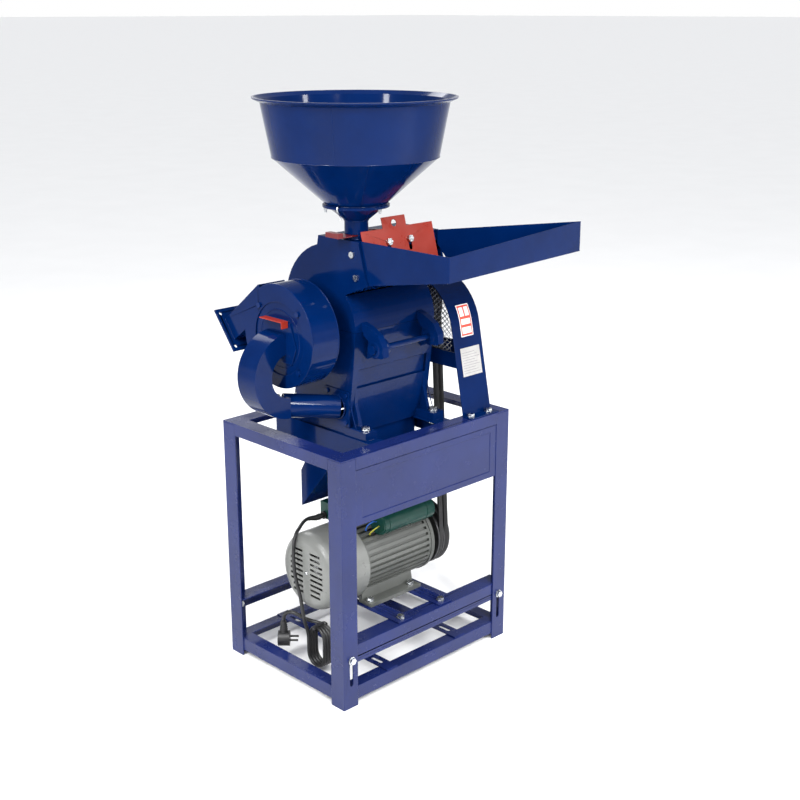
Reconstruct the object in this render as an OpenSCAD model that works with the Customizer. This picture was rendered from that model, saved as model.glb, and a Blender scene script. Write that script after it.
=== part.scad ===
/* [Stand] */
// Length of the stand along the shaft
stand_length = 500; // [440:5:640]
// Width of the stand, front to rear
stand_width = 380; // [360:5:480]
// Height of the stand, floor to mill feet
stand_height = 550; // [500:5:700]
// Leg width of the angle iron
angle_leg = 40; // [35:1:50]
// Thickness of the angle iron
angle_wall = 3; // [2:0.5:4]
// Height of the top of the motor rails above the floor
motor_rail_top = 138; // [125:1:170]

/* [Mill] */
// Height of the shaft above the stand
shaft_rise = 222; // [210:1:240]
// Outer radius of the grinding drum
drum_r = 105; // [100:1:112]
// Wall of the cast casing
casing_wall = 6; // [5:0.5:8]
// Left face of the casing
casing_left = -130; // [-140:1:-125]
// Right face of the casing
casing_right = 97; // [92:1:105]
// Diameter of the rotor shaft
shaft_d = 25; // [20:1:28]
// Radius that the hammer tips sweep
hammer_tip_r = 84; // [76:1:86]
// Radius of the circle of hammer pins
hammer_pin_circle = 48; // [44:1:52]

/* [Feeding] */
// Outer diameter of the round hopper at its rim
hopper_rim_d = 402; // [340:2:440]
// Height of the round hopper, ring to rim
hopper_height = 210; // [180:2:240]
// Wall of the hopper and the feed tray
sheet_wall = 2; // [1.5:0.5:3]
// Reach of the feed tray to the front
tray_reach = 243; // [210:1:270]
// Depth of the feed tray at its front wall
tray_depth = 48; // [40:1:60]

/* [Fan] */
// Outer radius of the fan casing
fan_r = 107; // [98:1:112]
// Width of the fan casing along the shaft
fan_width = 70; // [60:1:76]
// Spacing of the outlet flange's holes
outlet_hole_gap = 78; // [70:1:84]

/* [Drive] */
// Outer diameter of the motor pulley
motor_pulley_d = 156; // [120:1:160]
// Outer diameter of the mill pulley
mill_pulley_d = 96; // [80:1:110]
// Width of the belt guard's band
guard_width = 88; // [84:1:100]
// Height of the motor shaft above its feet
motor_height = 90; // [90:1:100]
// Radius of the finned motor body
motor_r = 80; // [76:1:82]

/* [Hidden] */
$fn = 64;
EPS = 0.01;

// Clearances
run_gap = 0.05;    // radial play of a running fit
slide_gap = 0.4;   // play between sliding or soft parts and their guides

// Stand
half_l = stand_length / 2;
half_w = stand_width / 2;
rail_drop = 27;          // height of a top rail's upright face
low_angle = 30;          // leg width of the bottom rails' angle
low_rail_top = 43;
leg_top = stand_height - angle_wall;
leg_inner_x = half_l - angle_wall;
leg_inner_y = half_w - angle_wall;
slot_w = 9;
slot_low = 50;
bolt_d = 8;
bolt_z = motor_rail_top - 28;        // the carriage bolts' height at rest
slot_high = bolt_z + slot_w / 2 + 0.5;
slot_x = half_l - 22;
strap_w = 32;
strap_x = 106;           // half the distance between the two base straps
strap_slot_y = 137;
strap_slot_l = 33;
bar_left_x = -136;
bar_right_x = 62;
panel_low = 402;
panel_wall = 1.5;

// Mill
shaft_z = stand_height + shaft_rise;
shaft_r = shaft_d / 2;
split_z = shaft_z;
plate_t = 5;             // end plates of the casing
drum_in = drum_r - casing_wall;
seam_gap = 0.5;          // joint between the casing's halves
hood_cy = -30;           // centre of the hood's rear arc
hood_cz = shaft_z + 31;
hood_r = 142;
throat_low = [-138, shaft_z + 101];   // lower lip of the feed throat, y and z
throat_top = [-114, shaft_z + 187];   // upper lip of the feed throat
hood_top_y = 4;
throat_lip = 20;         // height of the lip that the gate's bolts pass through
throat_tilt = atan((throat_top[0] - throat_low[0]) / (throat_top[1] - throat_low[1]));
hinge_y = -138;
hinge_z = shaft_z - 30;
hinge_pin_r = 6;
foot_y = 118;
foot_t = 18;
knob_y = 136;
lug_x = [-84, 48];
sieve_in = hammer_tip_r + 6;
sieve_wall = 1.5;
shaft_left = -232;
shaft_right = 192;
bearing_r = 26;
bearing_w = 14;
housing_r = 38;
left_bearing_x = -152;
right_bearing_x = 112;
disc_r = 60;
disc_x = [-100, -17, 66];
disc_t = 6;
hammer_t = 5;
hammer_w = 22;
hammer_pin_r = 4;
hammer_x_odd = [-88, -58, 8, 38];
hammer_x_even = [-73, -43, 23, 53];

// Fan
fan_left = -240;
fan_right = fan_left + fan_width;
fan_wall = 3;
fan_y = 6;
fan_z = shaft_z - 6;
cover_z = shaft_z - 10;
outlet_angle = -38.5;    // slope of the outlet duct
outlet_centre = [168, shaft_z - 21];
outlet_half = 25;        // half the outlet duct's height
flange_half = outlet_hole_gap / 2 + 11;
flange_t = 4;
duct_cx = -232;          // centre of the suction bend, x and z
duct_cz = shaft_z - 84;
duct_out_r = 90;
duct_in_r = 47;
duct_y0 = -20;
duct_y1 = 37;
duct_wall = 2;
inlet_t = 3;
pipe_r = 25;
pipe_start = [-232, 8, duct_cz - (duct_out_r + duct_in_r) / 2];
pipe_end = [casing_left - 8, -48, shaft_z - 164];

// Feeding
hopper_x = -100;
hopper_y = -78;
tray_z = throat_top[1] + 1;
top_z = throat_top[1];
tray_screw_at = [[-98, top_z - 27], [-109, top_z - 72]];
funnel_r = 59;
ring_screws = [35, 155, 275];
tube_r = 24;
neck_z = top_z + 37;
ring_z = top_z + 67;
knee_z = ring_z + 95;
knee_r = hopper_rim_d / 2 - 36;
wall_top_r = hopper_rim_d / 2 - 16;
rim_z = ring_z + hopper_height;
tray_front_y = throat_top[0] - tray_reach;
tray_tip = [386, -263];
tray_back = [casing_right - 10, -122];
gate_wall = 2;
gate_slot = 20;          // length that the gate's slots let it rise, and a little more

// Drive
belt_x = 165;
belt_pitch_x = 8;      // half the distance between the two belts
belt_w = 12;
belt_h = 8;
groove_d = 9;
motor_bar_t = 3;
motor_z = motor_rail_top + motor_bar_t + motor_height;
motor_foot_x = 62;
motor_foot_y = 70;
motor_shaft_r = 9.5;
stator_x0 = -75;
stator_x1 = 120;
guard_x0 = 130;
guard_wall = 2;
guard_cz = shaft_z - 52;
guard_in_r = 126;
guard_foot_y = half_w - 28;
mesh_low = shaft_z - 82;
guard_bolt_x = [guard_x0 + 12, guard_x0 + guard_width - 20];

// Power cord: an 8 mm lead over the cowl to the hank, then the hanging tail
cord_d = 8;
hank_x = -166;
hank_y = -20;
hank_low = 20;
hank_high = 124;
hank_half_y = 24;
hank_half_x = 9;
lead_points = [[-90.5, 62, 318], [-102, 62, 318], [-116, 62, 321], [-130, 60, 323],
    [-144, 54, 323], [-156, 48, 321], [-168, 42, 317], [-180, 37, 311], [-190, 32, 299],
    [-196, 28, 280], [-199, 25, 256], [-200, 21, 230], [-199, 15, 204], [-197, 7, 180],
    [-195, -2, 160], [-190, -10, 146], [-182, -17, 138], [-174, -21, 133],
    [-174, -21, hank_high + 0.2]];
tail_points = [[-162, -6, hank_high + 0.2], [-162, -6, 131], [-166, 4, 136], [-176, 17, 138],
    [-187, 30, 139], [-193, 42, 136], [-196, 53, 128], [-197, 62, 118], [-197, 68, 108],
    [-197, 68, 98]];
plug_at = [-197, 68, 55];

// ---- Shared shapes ----

// An outline in y and z, carried along X from x0 to x1.
module along_x(x0, x1) {
    translate([x0, 0, 0])
        rotate([90, 0, 90])
            linear_extrude(x1 - x0)
                children();
}

// An outline in x and z, carried along Y from y0 to y1.
module along_y(y0, y1) {
    translate([0, y1, 0])
        rotate([90, 0, 0])
            linear_extrude(y1 - y0)
                children();
}

module rod_x(x0, x1, y, z, r) {
    translate([x0, y, z])
        rotate([0, 90, 0])
            cylinder(h = x1 - x0, r = r);
}

module rod_y(y0, y1, x, z, r) {
    translate([x, y0, z])
        rotate([-90, 0, 0])
            cylinder(h = y1 - y0, r = r);
}

module box(x0, x1, y0, y1, z0, z1) {
    translate([x0, y0, z0])
        cube([x1 - x0, y1 - y0, z1 - z0]);
}

// A hexagon bolt through a stack of the given grip, its head at z = 0 and up.
module bolt(d, grip, nut = true) {
    translate([0, 0, 1.6])
        cylinder(h = 0.65 * d, r = 0.95 * d, $fn = 6);
    cylinder(h = 1.6, r = 1.1 * d);
    translate([0, 0, -grip - (nut ? d : 0)])
        cylinder(h = grip + (nut ? d : 0) + 1, r = d / 2 - 0.3);
    if (nut)
        translate([0, 0, -grip - 0.8 * d])
            cylinder(h = 0.8 * d, r = 0.95 * d, $fn = 6);
}

// Points of an arc about a centre, from one angle to another.
function arc(cy, cz, r, a0, a1, n = 12) =
    [for (i = [0:n]) [cy + r * cos(a0 + (a1 - a0) * i / n), cz + r * sin(a0 + (a1 - a0) * i / n)]];

// ---- Stand ----

module leg(sx, sy) {
    color("mediumblue")
    difference() {
        translate([sx > 0 ? half_l - angle_leg : -half_l, sy > 0 ? half_w - angle_leg : -half_w, 0])
            cube([angle_leg, angle_leg, leg_top]);
        translate([
            sx > 0 ? half_l - angle_leg - 1 : -half_l + angle_wall,
            sy > 0 ? half_w - angle_leg - 1 : -half_w + angle_wall, -1])
            cube([angle_leg + 1 - angle_wall, angle_leg + 1 - angle_wall, leg_top + 2]);
        for (z = [slot_low + slot_w / 2, slot_high - slot_w / 2])
            rod_y(sy * half_w - 5, sy * half_w + 5, sx * slot_x, z, slot_w / 2);
        box(sx * slot_x - slot_w / 2, sx * slot_x + slot_w / 2, sy * half_w - 5, sy * half_w + 5,
            slot_low + slot_w / 2, slot_high - slot_w / 2);
    }
}

module leg_front_left() {
    leg(-1, -1);
}

module leg_front_right() {
    leg(1, -1);
}

module leg_rear_left() {
    leg(-1, 1);
}

module leg_rear_right() {
    leg(1, 1);
}

// Four top rails, mitred at the corners, with their upright faces between the legs.
module top_rails() {
    color("mediumblue")
    difference() {
        for (side = [0, 180])
            rotate([0, 0, side]) {
                translate([0, 0, leg_top])
                    linear_extrude(angle_wall)
                        polygon([[-half_l, -half_w], [half_l, -half_w],
                            [half_l - angle_leg, -half_w + angle_leg],
                            [-half_l + angle_leg, -half_w + angle_leg]]);
                box(-half_l + angle_leg, half_l - angle_leg, -half_w, -half_w + angle_wall,
                    stand_height - rail_drop, leg_top + EPS);
                translate([0, 0, leg_top])
                    linear_extrude(angle_wall)
                        polygon([[half_l, -half_w], [half_l, half_w],
                            [half_l - angle_leg, half_w - angle_leg],
                            [half_l - angle_leg, -half_w + angle_leg]]);
                box(half_l - angle_wall, half_l, -half_w + angle_leg, half_w - angle_leg,
                    stand_height - rail_drop, leg_top + EPS);
            }
        for (x = guard_bolt_x)
            for (sy = [-1, 1])
                translate([x, sy * (half_w - 15), leg_top - 1])
                    cylinder(h = angle_wall + 2, r = 4.5);
    }
}

module bottom_rails() {
    color("mediumblue")
    for (side = [0, 180])
        rotate([0, 0, side]) {
            box(-leg_inner_x, leg_inner_x, -leg_inner_y, -leg_inner_y + low_angle,
                low_rail_top - angle_wall, low_rail_top);
            box(-leg_inner_x, leg_inner_x, -leg_inner_y, -leg_inner_y + angle_wall,
                low_rail_top - low_angle, low_rail_top - angle_wall + EPS);
            box(leg_inner_x - low_angle, leg_inner_x, -leg_inner_y + low_angle, leg_inner_y - low_angle,
                low_rail_top - angle_wall, low_rail_top);
            box(leg_inner_x - angle_wall, leg_inner_x, -leg_inner_y + low_angle, leg_inner_y - low_angle,
                low_rail_top - low_angle, low_rail_top - angle_wall + EPS);
        }
}

// Two slotted straps across the bottom rails, for bolting the stand down.
module base_straps() {
    color("mediumblue")
    for (x = [-strap_x, strap_x])
        difference() {
            box(x - strap_w / 2, x + strap_w / 2, -leg_inner_y + 2, leg_inner_y - 2,
                low_rail_top, low_rail_top + angle_wall);
            for (y = [-strap_slot_y, strap_slot_y]) {
                for (e = [-1, 1])
                    translate([x, y + e * (strap_slot_l - slot_w) / 2, low_rail_top - 1])
                        cylinder(h = angle_wall + 2, r = slot_w / 2);
                box(x - slot_w / 2, x + slot_w / 2, y - (strap_slot_l - slot_w) / 2,
                    y + (strap_slot_l - slot_w) / 2, low_rail_top - 1, low_rail_top + angle_wall + 1);
            }
        }
}

// Two angle bars under the mill's feet, hung between the top rails.
module mill_support_bars() {
    color("mediumblue")
    for (x = [bar_left_x, bar_right_x])
        difference() {
            union() {
                box(x, x + angle_leg, -half_w + angle_leg, half_w - angle_leg, leg_top, stand_height);
                box(x < 0 ? x : x + angle_leg - angle_wall, x < 0 ? x + angle_wall : x + angle_leg,
                    -half_w + angle_leg, half_w - angle_leg, stand_height - angle_leg, leg_top + EPS);
            }
            for (y = [-foot_y, foot_y])
                translate([x + angle_leg / 2, y, leg_top - 1])
                    cylinder(h = angle_wall + 2, r = 5);
        }
}

// Dished sheet between the front legs, with a folded lip at the bottom.
module front_panel() {
    y0 = -leg_inner_y;
    color("mediumblue") {
        box(-leg_inner_x, leg_inner_x, y0, y0 + panel_wall, panel_low, stand_height - rail_drop - 1);
        box(-leg_inner_x, leg_inner_x, y0 + panel_wall - EPS, y0 + 14, panel_low, panel_low + panel_wall);
    }
}

module motor_rails() {
    color("mediumblue")
    for (side = [0, 180])
        rotate([0, 0, side])
            difference() {
                union() {
                    box(-leg_inner_x + 1, leg_inner_x - 1, -leg_inner_y + slide_gap,
                        -leg_inner_y + slide_gap + angle_wall, motor_rail_top - angle_leg, motor_rail_top);
                    box(-leg_inner_x + 1, leg_inner_x - 1, -leg_inner_y + slide_gap + angle_wall - EPS,
                        -leg_inner_y + slide_gap + angle_leg, motor_rail_top - angle_wall, motor_rail_top);
                }
                for (x = [-slot_x, slot_x])
                    rod_y(-half_w - 1, -half_w + 10, x, bolt_z, bolt_d / 2 + 0.2);
                for (x = [-motor_foot_x, motor_foot_x])
                    translate([x, -half_w + 25, motor_rail_top - 5])
                        cylinder(h = 10, r = 4.5);
            }
}

// Two flat bars from rail to rail that carry the motor's feet, with long slots.
module motor_cross_bars() {
    y_end = leg_inner_y - slide_gap - angle_wall - 2;
    color("mediumblue")
    for (x = [-motor_foot_x, motor_foot_x])
        difference() {
            box(x - 20, x + 20, -y_end, y_end, motor_rail_top, motor_rail_top + motor_bar_t);
            for (y = [-half_w + 25, half_w - 25, -motor_foot_y, motor_foot_y])
                translate([x, y, motor_rail_top - 1])
                    cylinder(h = motor_bar_t + 2, r = 4.5);
            box(x - 4, x + 4, -motor_foot_y + 18, motor_foot_y - 18,
                motor_rail_top - 1, motor_rail_top + motor_bar_t + 1);
        }
}

module carriage_bolts() {
    color("silver")
    for (side = [0, 180])
        rotate([0, 0, side])
            for (x = [-slot_x, slot_x])
                translate([x, -half_w - slide_gap, bolt_z])
                    rotate([90, 0, 0])
                        bolt(bolt_d, angle_wall * 2 + slide_gap * 2);
}

module motor_foot_bolts() {
    color("silver")
    for (x = [-motor_foot_x, motor_foot_x]) {
        for (y = [-motor_foot_y, motor_foot_y])
            translate([x, y, motor_rail_top + motor_bar_t + 8])
                bolt(8, 8 + motor_bar_t);
        for (y = [-half_w + 25, half_w - 25])
            translate([x, y, motor_rail_top + motor_bar_t])
                bolt(8, motor_bar_t + angle_wall);
    }
}

// ---- Mill casing ----

// Outline of the hood above the split, grown inwards by t.
module hood_outline(t) {
    front = arc(0, shaft_z, drum_r - t, 180, 135);
    rear_end = asin((split_z - hood_cz) / (hood_r - t));
    rear_start = acos((hood_top_y + 4 - hood_cy) / (hood_r - t));
    polygon(concat(
        front,
        [[throat_low[0] - 1 + t * 1.1, throat_low[1] + t], [throat_top[0] - 1 + t * 1.1, throat_top[1] - t],
            [hood_top_y - t / 2, throat_top[1] - t]],
        arc(hood_cy, hood_cz, hood_r - t, rear_start, rear_end)));
}

// Outline of the lower casing: half drum above, a tapering skirt below.
module skirt_outline(t) {
    ledge_z = shaft_z - 75;
    polygon([[-drum_r + t, split_z], [-98 + t, ledge_z], [-79 + t, stand_height],
        [79 - t, stand_height], [98 - t, ledge_z], [drum_r - t, split_z]]);
}

module lower_casing() {
    ledge_z = shaft_z - 75;
    color("mediumblue")
    difference() {
        union() {
            along_x(casing_left, casing_right)
                skirt_outline(0);
            // feet and the ribs that run down to them
            for (sy = [-1, 1])
                for (x = [bar_left_x + 4, bar_right_x + 4]) {
                    box(x, x + 32, min(sy * 70, sy * (foot_y + 17)), max(sy * 70, sy * (foot_y + 17)),
                        stand_height, stand_height + foot_t);
                    along_x(x + 12, x + 20)
                        polygon([[sy * 75, stand_height], [sy * (foot_y - 12), stand_height + foot_t - EPS],
                            [sy * 90, stand_height + 70], [sy * 95, ledge_z]]);
                }
            // rear lug for the hand knobs
            for (x = lug_x)
                box(x - 16, x + 16, 98, knob_y + 14, split_z - 20, split_z - seam_gap);
            // hinge ears
            for (x = [-94, 62])
                along_x(x, x + 13) {
                    translate([hinge_y, hinge_z])
                        circle(r = 15);
                    polygon([[hinge_y, hinge_z - 15], [-90, hinge_z - 34], [-90, hinge_z + 12],
                        [hinge_y, hinge_z + 15]]);
                }
        }
        // grinding chamber and the open bottom
        rod_x(casing_left + plate_t + 8, casing_right - plate_t - 8, 0, shaft_z, drum_in);
        rod_x(casing_left + plate_t, casing_right - plate_t, 0, shaft_z, sieve_in + sieve_wall + 0.3);
        along_x(casing_left + plate_t, casing_right - plate_t)
            polygon([[-82, ledge_z + 30], [-72, stand_height - 1],
                [72, stand_height - 1], [82, ledge_z + 30]]);
        // panels set back between the end ribs, front and rear
        for (sy = [-1, 1])
            along_x(casing_left + 14, casing_right - 14)
                polygon([[sy * 98.5, ledge_z - 4], [sy * 79.6, stand_height + 20],
                    [sy * 77, stand_height + 20], [sy * 91, ledge_z - 8]]);
        box(casing_left - 1, casing_right + 1, -200, 200, split_z, split_z + 60);
        rod_x(casing_left - 1, casing_left + plate_t + 1, 0, shaft_z, shaft_r + 3.5);
        rod_x(casing_right - plate_t - 1, casing_right + 1, 0, shaft_z, shaft_r + 3.5);
        rod_x(-100, 80, hinge_y, hinge_z, hinge_pin_r + run_gap);
        for (x = lug_x)
            translate([x, knob_y, split_z - 14])
                cylinder(h = 20, r = 7);
        for (sy = [-1, 1])
            for (x = [bar_left_x + angle_leg / 2, bar_right_x + angle_leg / 2])
                translate([x, sy * foot_y, stand_height - 1])
                    cylinder(h = foot_t + 2, r = 5);
        // suction port in the left end plate
        translate([casing_left - 1, pipe_end[1], pipe_end[2]])
            rotate([0, 90, 0])
                cylinder(h = plate_t + 2, r = 20);
    }
}

module upper_casing() {
    color("mediumblue")
    difference() {
        union() {
            along_x(casing_left, casing_right)
                hood_outline(0);
            // hinge arms that hook over the pin
            for (x = [-112, 46])
                along_x(x, x + 15) {
                    translate([hinge_y, hinge_z])
                        circle(r = 17);
                    polygon([[hinge_y - 30, hinge_z - 12], [hinge_y - 22, hinge_z - 16],
                        [hinge_y, hinge_z - 16], [hinge_y + 12, hinge_z + 13],
                        [-100, split_z + seam_gap], [-96, split_z + 22],
                        [hinge_y + 14, hinge_z + 44], [hinge_y - 14, hinge_z + 30],
                        [hinge_y - 27, hinge_z + 8]]);
                }
            // rear lug that the hand knobs sit on
            for (x = lug_x)
                box(x - 16, x + 16, 98, knob_y + 14, split_z + seam_gap, split_z + 12);
        }
        along_x(casing_left + plate_t, casing_right - plate_t)
            hood_outline(casing_wall - 1);
        // feed throat through the inclined front
        along_x(casing_left + plate_t, casing_right - plate_t)
            polygon([[throat_low[0] + 14, throat_low[1] + 6], [throat_low[0] - 8, throat_low[1] + 4],
                [throat_top[0] - 14, throat_top[1] - throat_lip],
                [throat_top[0] + 8, throat_top[1] - throat_lip]]);
        box(casing_left - 1, casing_right + 1, -drum_r - 3, 160, split_z - 40, split_z + seam_gap);
        rod_x(casing_left - 1, casing_left + plate_t + 1, 0, shaft_z, shaft_r + 3.5);
        rod_x(casing_right - plate_t - 1, casing_right + 1, 0, shaft_z, shaft_r + 3.5);
        rod_x(-114, 66, hinge_y, hinge_z, hinge_pin_r + run_gap);
        for (p = tray_screw_at)
            rod_x(casing_left - 1, casing_left + plate_t + 1, p[0], p[1], 3.3);
        translate([hopper_x, hopper_y, top_z - 10])
            cylinder(h = 20, r = tube_r - 2);
        for (x = lug_x)
            translate([x, knob_y, split_z - 1])
                cylinder(h = 20, r = 5 + run_gap);
    }
}

// Hinge pin through the ears and arms, headed on the left.
module hinge_pin() {
    color("silver") {
        rod_x(-114, 70, hinge_y, hinge_z, hinge_pin_r);
        rod_x(-118, -113, hinge_y, hinge_z, hinge_pin_r + 4);
    }
}

// Hand knob whose stud drops through the upper lug into the lower one.
module casing_knob(x) {
    color("dimgray")
        translate([x, knob_y, split_z + 12 + slide_gap]) {
            cylinder(h = 12, r = 9);
            translate([0, 0, 12])
                cylinder(h = 16, r = 17);
            for (a = [0:60:300])
                rotate([0, 0, a])
                    translate([15, 0, 12])
                        cylinder(h = 16, r = 5);
            translate([0, 0, -12 - slide_gap - 8])
                cylinder(h = 22, r = 5);
        }
}

module casing_knob_left() {
    casing_knob(lug_x[0]);
}

module casing_knob_right() {
    casing_knob(lug_x[1]);
}

module mill_foot_bolts() {
    color("silver")
    for (x = [bar_left_x + angle_leg / 2, bar_right_x + angle_leg / 2])
        for (y = [-foot_y, foot_y])
            translate([x, y, stand_height + foot_t])
                bolt(9, foot_t + angle_wall);
}

// Half-round perforated screen under the rotor.
module sieve_screen() {
    color("silver")
    difference() {
        rod_x(casing_left + plate_t + 1, casing_right - plate_t - 1, 0, shaft_z, sieve_in + sieve_wall);
        rod_x(casing_left, casing_right, 0, shaft_z, sieve_in);
        box(casing_left, casing_right, -150, 150, shaft_z - 14, shaft_z + 150);
        for (x = [-110:24:82])
            for (a = [-60:30:60])
                translate([x, 0, shaft_z])
                    rotate([a, 0, 0])
                        translate([0, 0, -sieve_in - 6])
                            cylinder(h = 12, r = 4);
    }
}

// ---- Rotor ----

module main_shaft() {
    color("silver")
    difference() {
        rod_x(shaft_left, shaft_right, 0, shaft_z, shaft_r);
        box(shaft_right - 44, shaft_right + 1, -4, 4, shaft_z + shaft_r - 3, shaft_z + shaft_r + 1);
    }
}

// Three discs on one hub, drilled for the hammer pins.
module rotor_discs() {
    color("dimgray")
    difference() {
        union() {
            for (x = disc_x)
                rod_x(x - disc_t / 2, x + disc_t / 2, 0, shaft_z, disc_r);
            rod_x(disc_x[0], disc_x[2], 0, shaft_z, shaft_r + 7);
        }
        rod_x(-200, 200, 0, shaft_z, shaft_r + run_gap);
        for (a = [0:90:270])
            rod_x(-200, 200, hammer_pin_circle * cos(a), shaft_z + hammer_pin_circle * sin(a),
                hammer_pin_r + run_gap);
    }
}

module hammer_pins() {
    color("silver")
    for (a = [0:90:270])
        rod_x(disc_x[0] - disc_t / 2 - 4, disc_x[2] + disc_t / 2 + 4,
            hammer_pin_circle * cos(a), shaft_z + hammer_pin_circle * sin(a), hammer_pin_r);
}

// One row of swinging hammers on the pin at angle a, with its spacer tubes.
module hammers_row(a, places) {
    reach = hammer_tip_r - hammer_pin_circle;
    py = hammer_pin_circle * cos(a);
    pz = shaft_z + hammer_pin_circle * sin(a);
    color("gray")
    difference() {
        for (x = places)
            translate([x - hammer_t / 2, py, pz])
                rotate([a, 0, 0]) {
                    translate([0, -hammer_w / 2, -hammer_w / 2])
                        cube([hammer_t, hammer_w / 2 + reach - 0.5, hammer_w]);
                }
        rod_x(-200, 200, py, pz, hammer_pin_r + run_gap);
    }
}

module hammers_row_1() {
    hammers_row(0, hammer_x_odd);
}

module hammers_row_2() {
    hammers_row(90, hammer_x_even);
}

module hammers_row_3() {
    hammers_row(180, hammer_x_odd);
}

module hammers_row_4() {
    hammers_row(270, hammer_x_even);
}

module shaft_bearings() {
    color("silver")
    for (x = [left_bearing_x, right_bearing_x])
        difference() {
            rod_x(x - bearing_w / 2, x + bearing_w / 2, 0, shaft_z, bearing_r);
            rod_x(x - 20, x + 20, 0, shaft_z, shaft_r + run_gap);
        }
}

// Bearing bosses bolted to the end plates, the left one long enough to reach the fan.
module bearing_housings() {
    color("mediumblue")
    for (span = [[fan_right + slide_gap, casing_left, left_bearing_x],
            [casing_right, guard_x0 - 6, right_bearing_x]])
        difference() {
            union() {
                rod_x(span[0], span[1], 0, shaft_z, housing_r);
                box(span[0], span[1], -housing_r, housing_r, shaft_z - housing_r - 14, shaft_z - 18);
            }
            rod_x(span[0] - 1, span[1] + 1, 0, shaft_z, shaft_r + 3);
            rod_x(span[2] - bearing_w / 2, span[2] + bearing_w / 2, 0, shaft_z, bearing_r + run_gap);
        }
}

// Two-groove pulley body, centred on the belts.
module grooved(r, bore) {
    difference() {
        rotate([0, 90, 0])
            rotate_extrude()
                difference() {
                    translate([bore, -18])
                        square([r - bore, 36]);
                    for (e = [-1, 1])
                        translate([r - groove_d, e * belt_pitch_x - belt_w / 2 - 0.3])
                            square([groove_d + 1, belt_w + 0.6]);
                }
        for (e = [-1, 1])
            rotate([0, 90, 0])
                translate([0, 0, e * 15.5])
                    difference() {
                        cylinder(h = 6, r = r - groove_d - 9, center = true);
                        cylinder(h = 8, r = bore + 10, center = true);
                    }
    }
}

module mill_pulley() {
    color("dimgray")
        translate([belt_x, 0, shaft_z])
            grooved(mill_pulley_d / 2, shaft_r + run_gap);
}

module motor_pulley() {
    color("dimgray")
        translate([belt_x, 0, motor_z])
            grooved(motor_pulley_d / 2, motor_shaft_r + run_gap);
}

// ---- Fan ----

module fan_impeller() {
    hub_x0 = fan_left + 12;
    hub_x1 = fan_right - 8;
    color("gray")
    difference() {
        union() {
            rod_x(hub_x0, hub_x1, 0, shaft_z, shaft_r + 8);
            rod_x(hub_x1 - 3, hub_x1, 0, shaft_z, 84);
            for (a = [0:60:300])
                translate([hub_x0 + 6, 0, shaft_z])
                    rotate([a, 0, 0])
                        box(0, hub_x1 - hub_x0 - 7, shaft_r + 7, 86, -1.5, 1.5);
        }
        rod_x(fan_left, 0, 0, shaft_z, shaft_r + run_gap);
    }
}

// Outline of the fan casing and its outlet, grown inwards by t.
module fan_outline(t, stretch = 0) {
    translate([fan_y, fan_z])
        circle(r = fan_r - t);
    translate(outlet_centre)
        rotate(outlet_angle)
            translate([-150, -outlet_half + t])
                square([150 + stretch, 2 * (outlet_half - t)]);
}

module outlet_frame() {
    translate([fan_left + fan_width / 2, outlet_centre[0], outlet_centre[1]])
        rotate([outlet_angle, 0, 0])
            children();
}

module fan_casing() {
    color("mediumblue")
    difference() {
        union() {
            along_x(fan_left, fan_right)
                fan_outline(0);
            outlet_frame()
                box(-flange_half, flange_half, -flange_t, 0, -flange_half, flange_half);
        }
        along_x(fan_left + fan_wall, fan_right - fan_wall)
            fan_outline(fan_wall, 1);
        rod_x(fan_left - 1, fan_left + fan_wall + 1, 3, cover_z, 75);
        rod_x(fan_right - 20, fan_right + 1, 0, shaft_z, shaft_r + 3);
        outlet_frame()
            for (sx = [-1, 1])
                for (sz = [-1, 1])
                    rod_y(-flange_t - 1, 1, sx * outlet_hole_gap / 2, sz * outlet_hole_gap / 2, 3.5);
        for (a = [45:90:315])
            rod_x(fan_left - 1, fan_left + fan_wall + 1, 3 + 85 * cos(a), cover_z + 85 * sin(a), 2.6);
    }
}

// Disc that closes the fan's front from inside, with the suction eye.
module fan_cover() {
    color("mediumblue")
    difference() {
        rod_x(fan_left + fan_wall, fan_left + fan_wall + 2.5, 3, cover_z, 93);
        rod_x(fan_left, fan_left + 10, 8, duct_cz + (duct_out_r + duct_in_r) / 2, 19);
        for (a = [45:90:315])
            rod_x(fan_left, fan_left + 10, 3 + 85 * cos(a), cover_z + 85 * sin(a), 2.6);
    }
}

module fan_screws() {
    color("silver") {
        for (a = [45:90:315])
            translate([fan_left, 3 + 85 * cos(a), cover_z + 85 * sin(a)])
                rotate([0, -90, 0]) {
                    cylinder(h = 3.5, r = 5.5);
                    translate([0, 0, -9])
                        cylinder(h = 10, r = 2.4);
                }
        // screws of the suction pipe's flange
        for (sy = [-1, 1])
            for (sz = [-1, 1])
                translate([casing_left - inlet_t, pipe_end[1] + sy * 29, pipe_end[2] + sz * 29])
                    rotate([0, -90, 0]) {
                        cylinder(h = 4, r = 5.5);
                        translate([0, 0, -inlet_t + 0.1])
                            cylinder(h = inlet_t + 1, r = 2.8);
                    }
    }
}

// Six-sided plate on the fan's eye that carries the suction bend and the damper.
module inlet_plate() {
    eye_z = duct_cz + (duct_out_r + duct_in_r) / 2;
    color("mediumblue")
    difference() {
        along_x(fan_left - inlet_t + fan_wall - 0.5, fan_left + fan_wall - 0.05)
            polygon([[-50, eye_z - 8], [-36, eye_z - 42], [44, eye_z - 42], [58, eye_z - 6],
                [46, eye_z + 44], [-32, eye_z + 44]]);
        rod_x(fan_left - 10, fan_left + 10, 8, eye_z, 19);
    }
}

// Red damper that closes the air slot above the suction bend.
module fan_damper() {
    z0 = duct_cz + duct_out_r + 24;
    color("red") {
        box(fan_left - 18, fan_left - 1, -26, 42, z0, z0 + 2);
        box(fan_left - 18, fan_left - 1, -28, -26 + EPS, z0 - 12, z0 + 2);
    }
}

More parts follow.
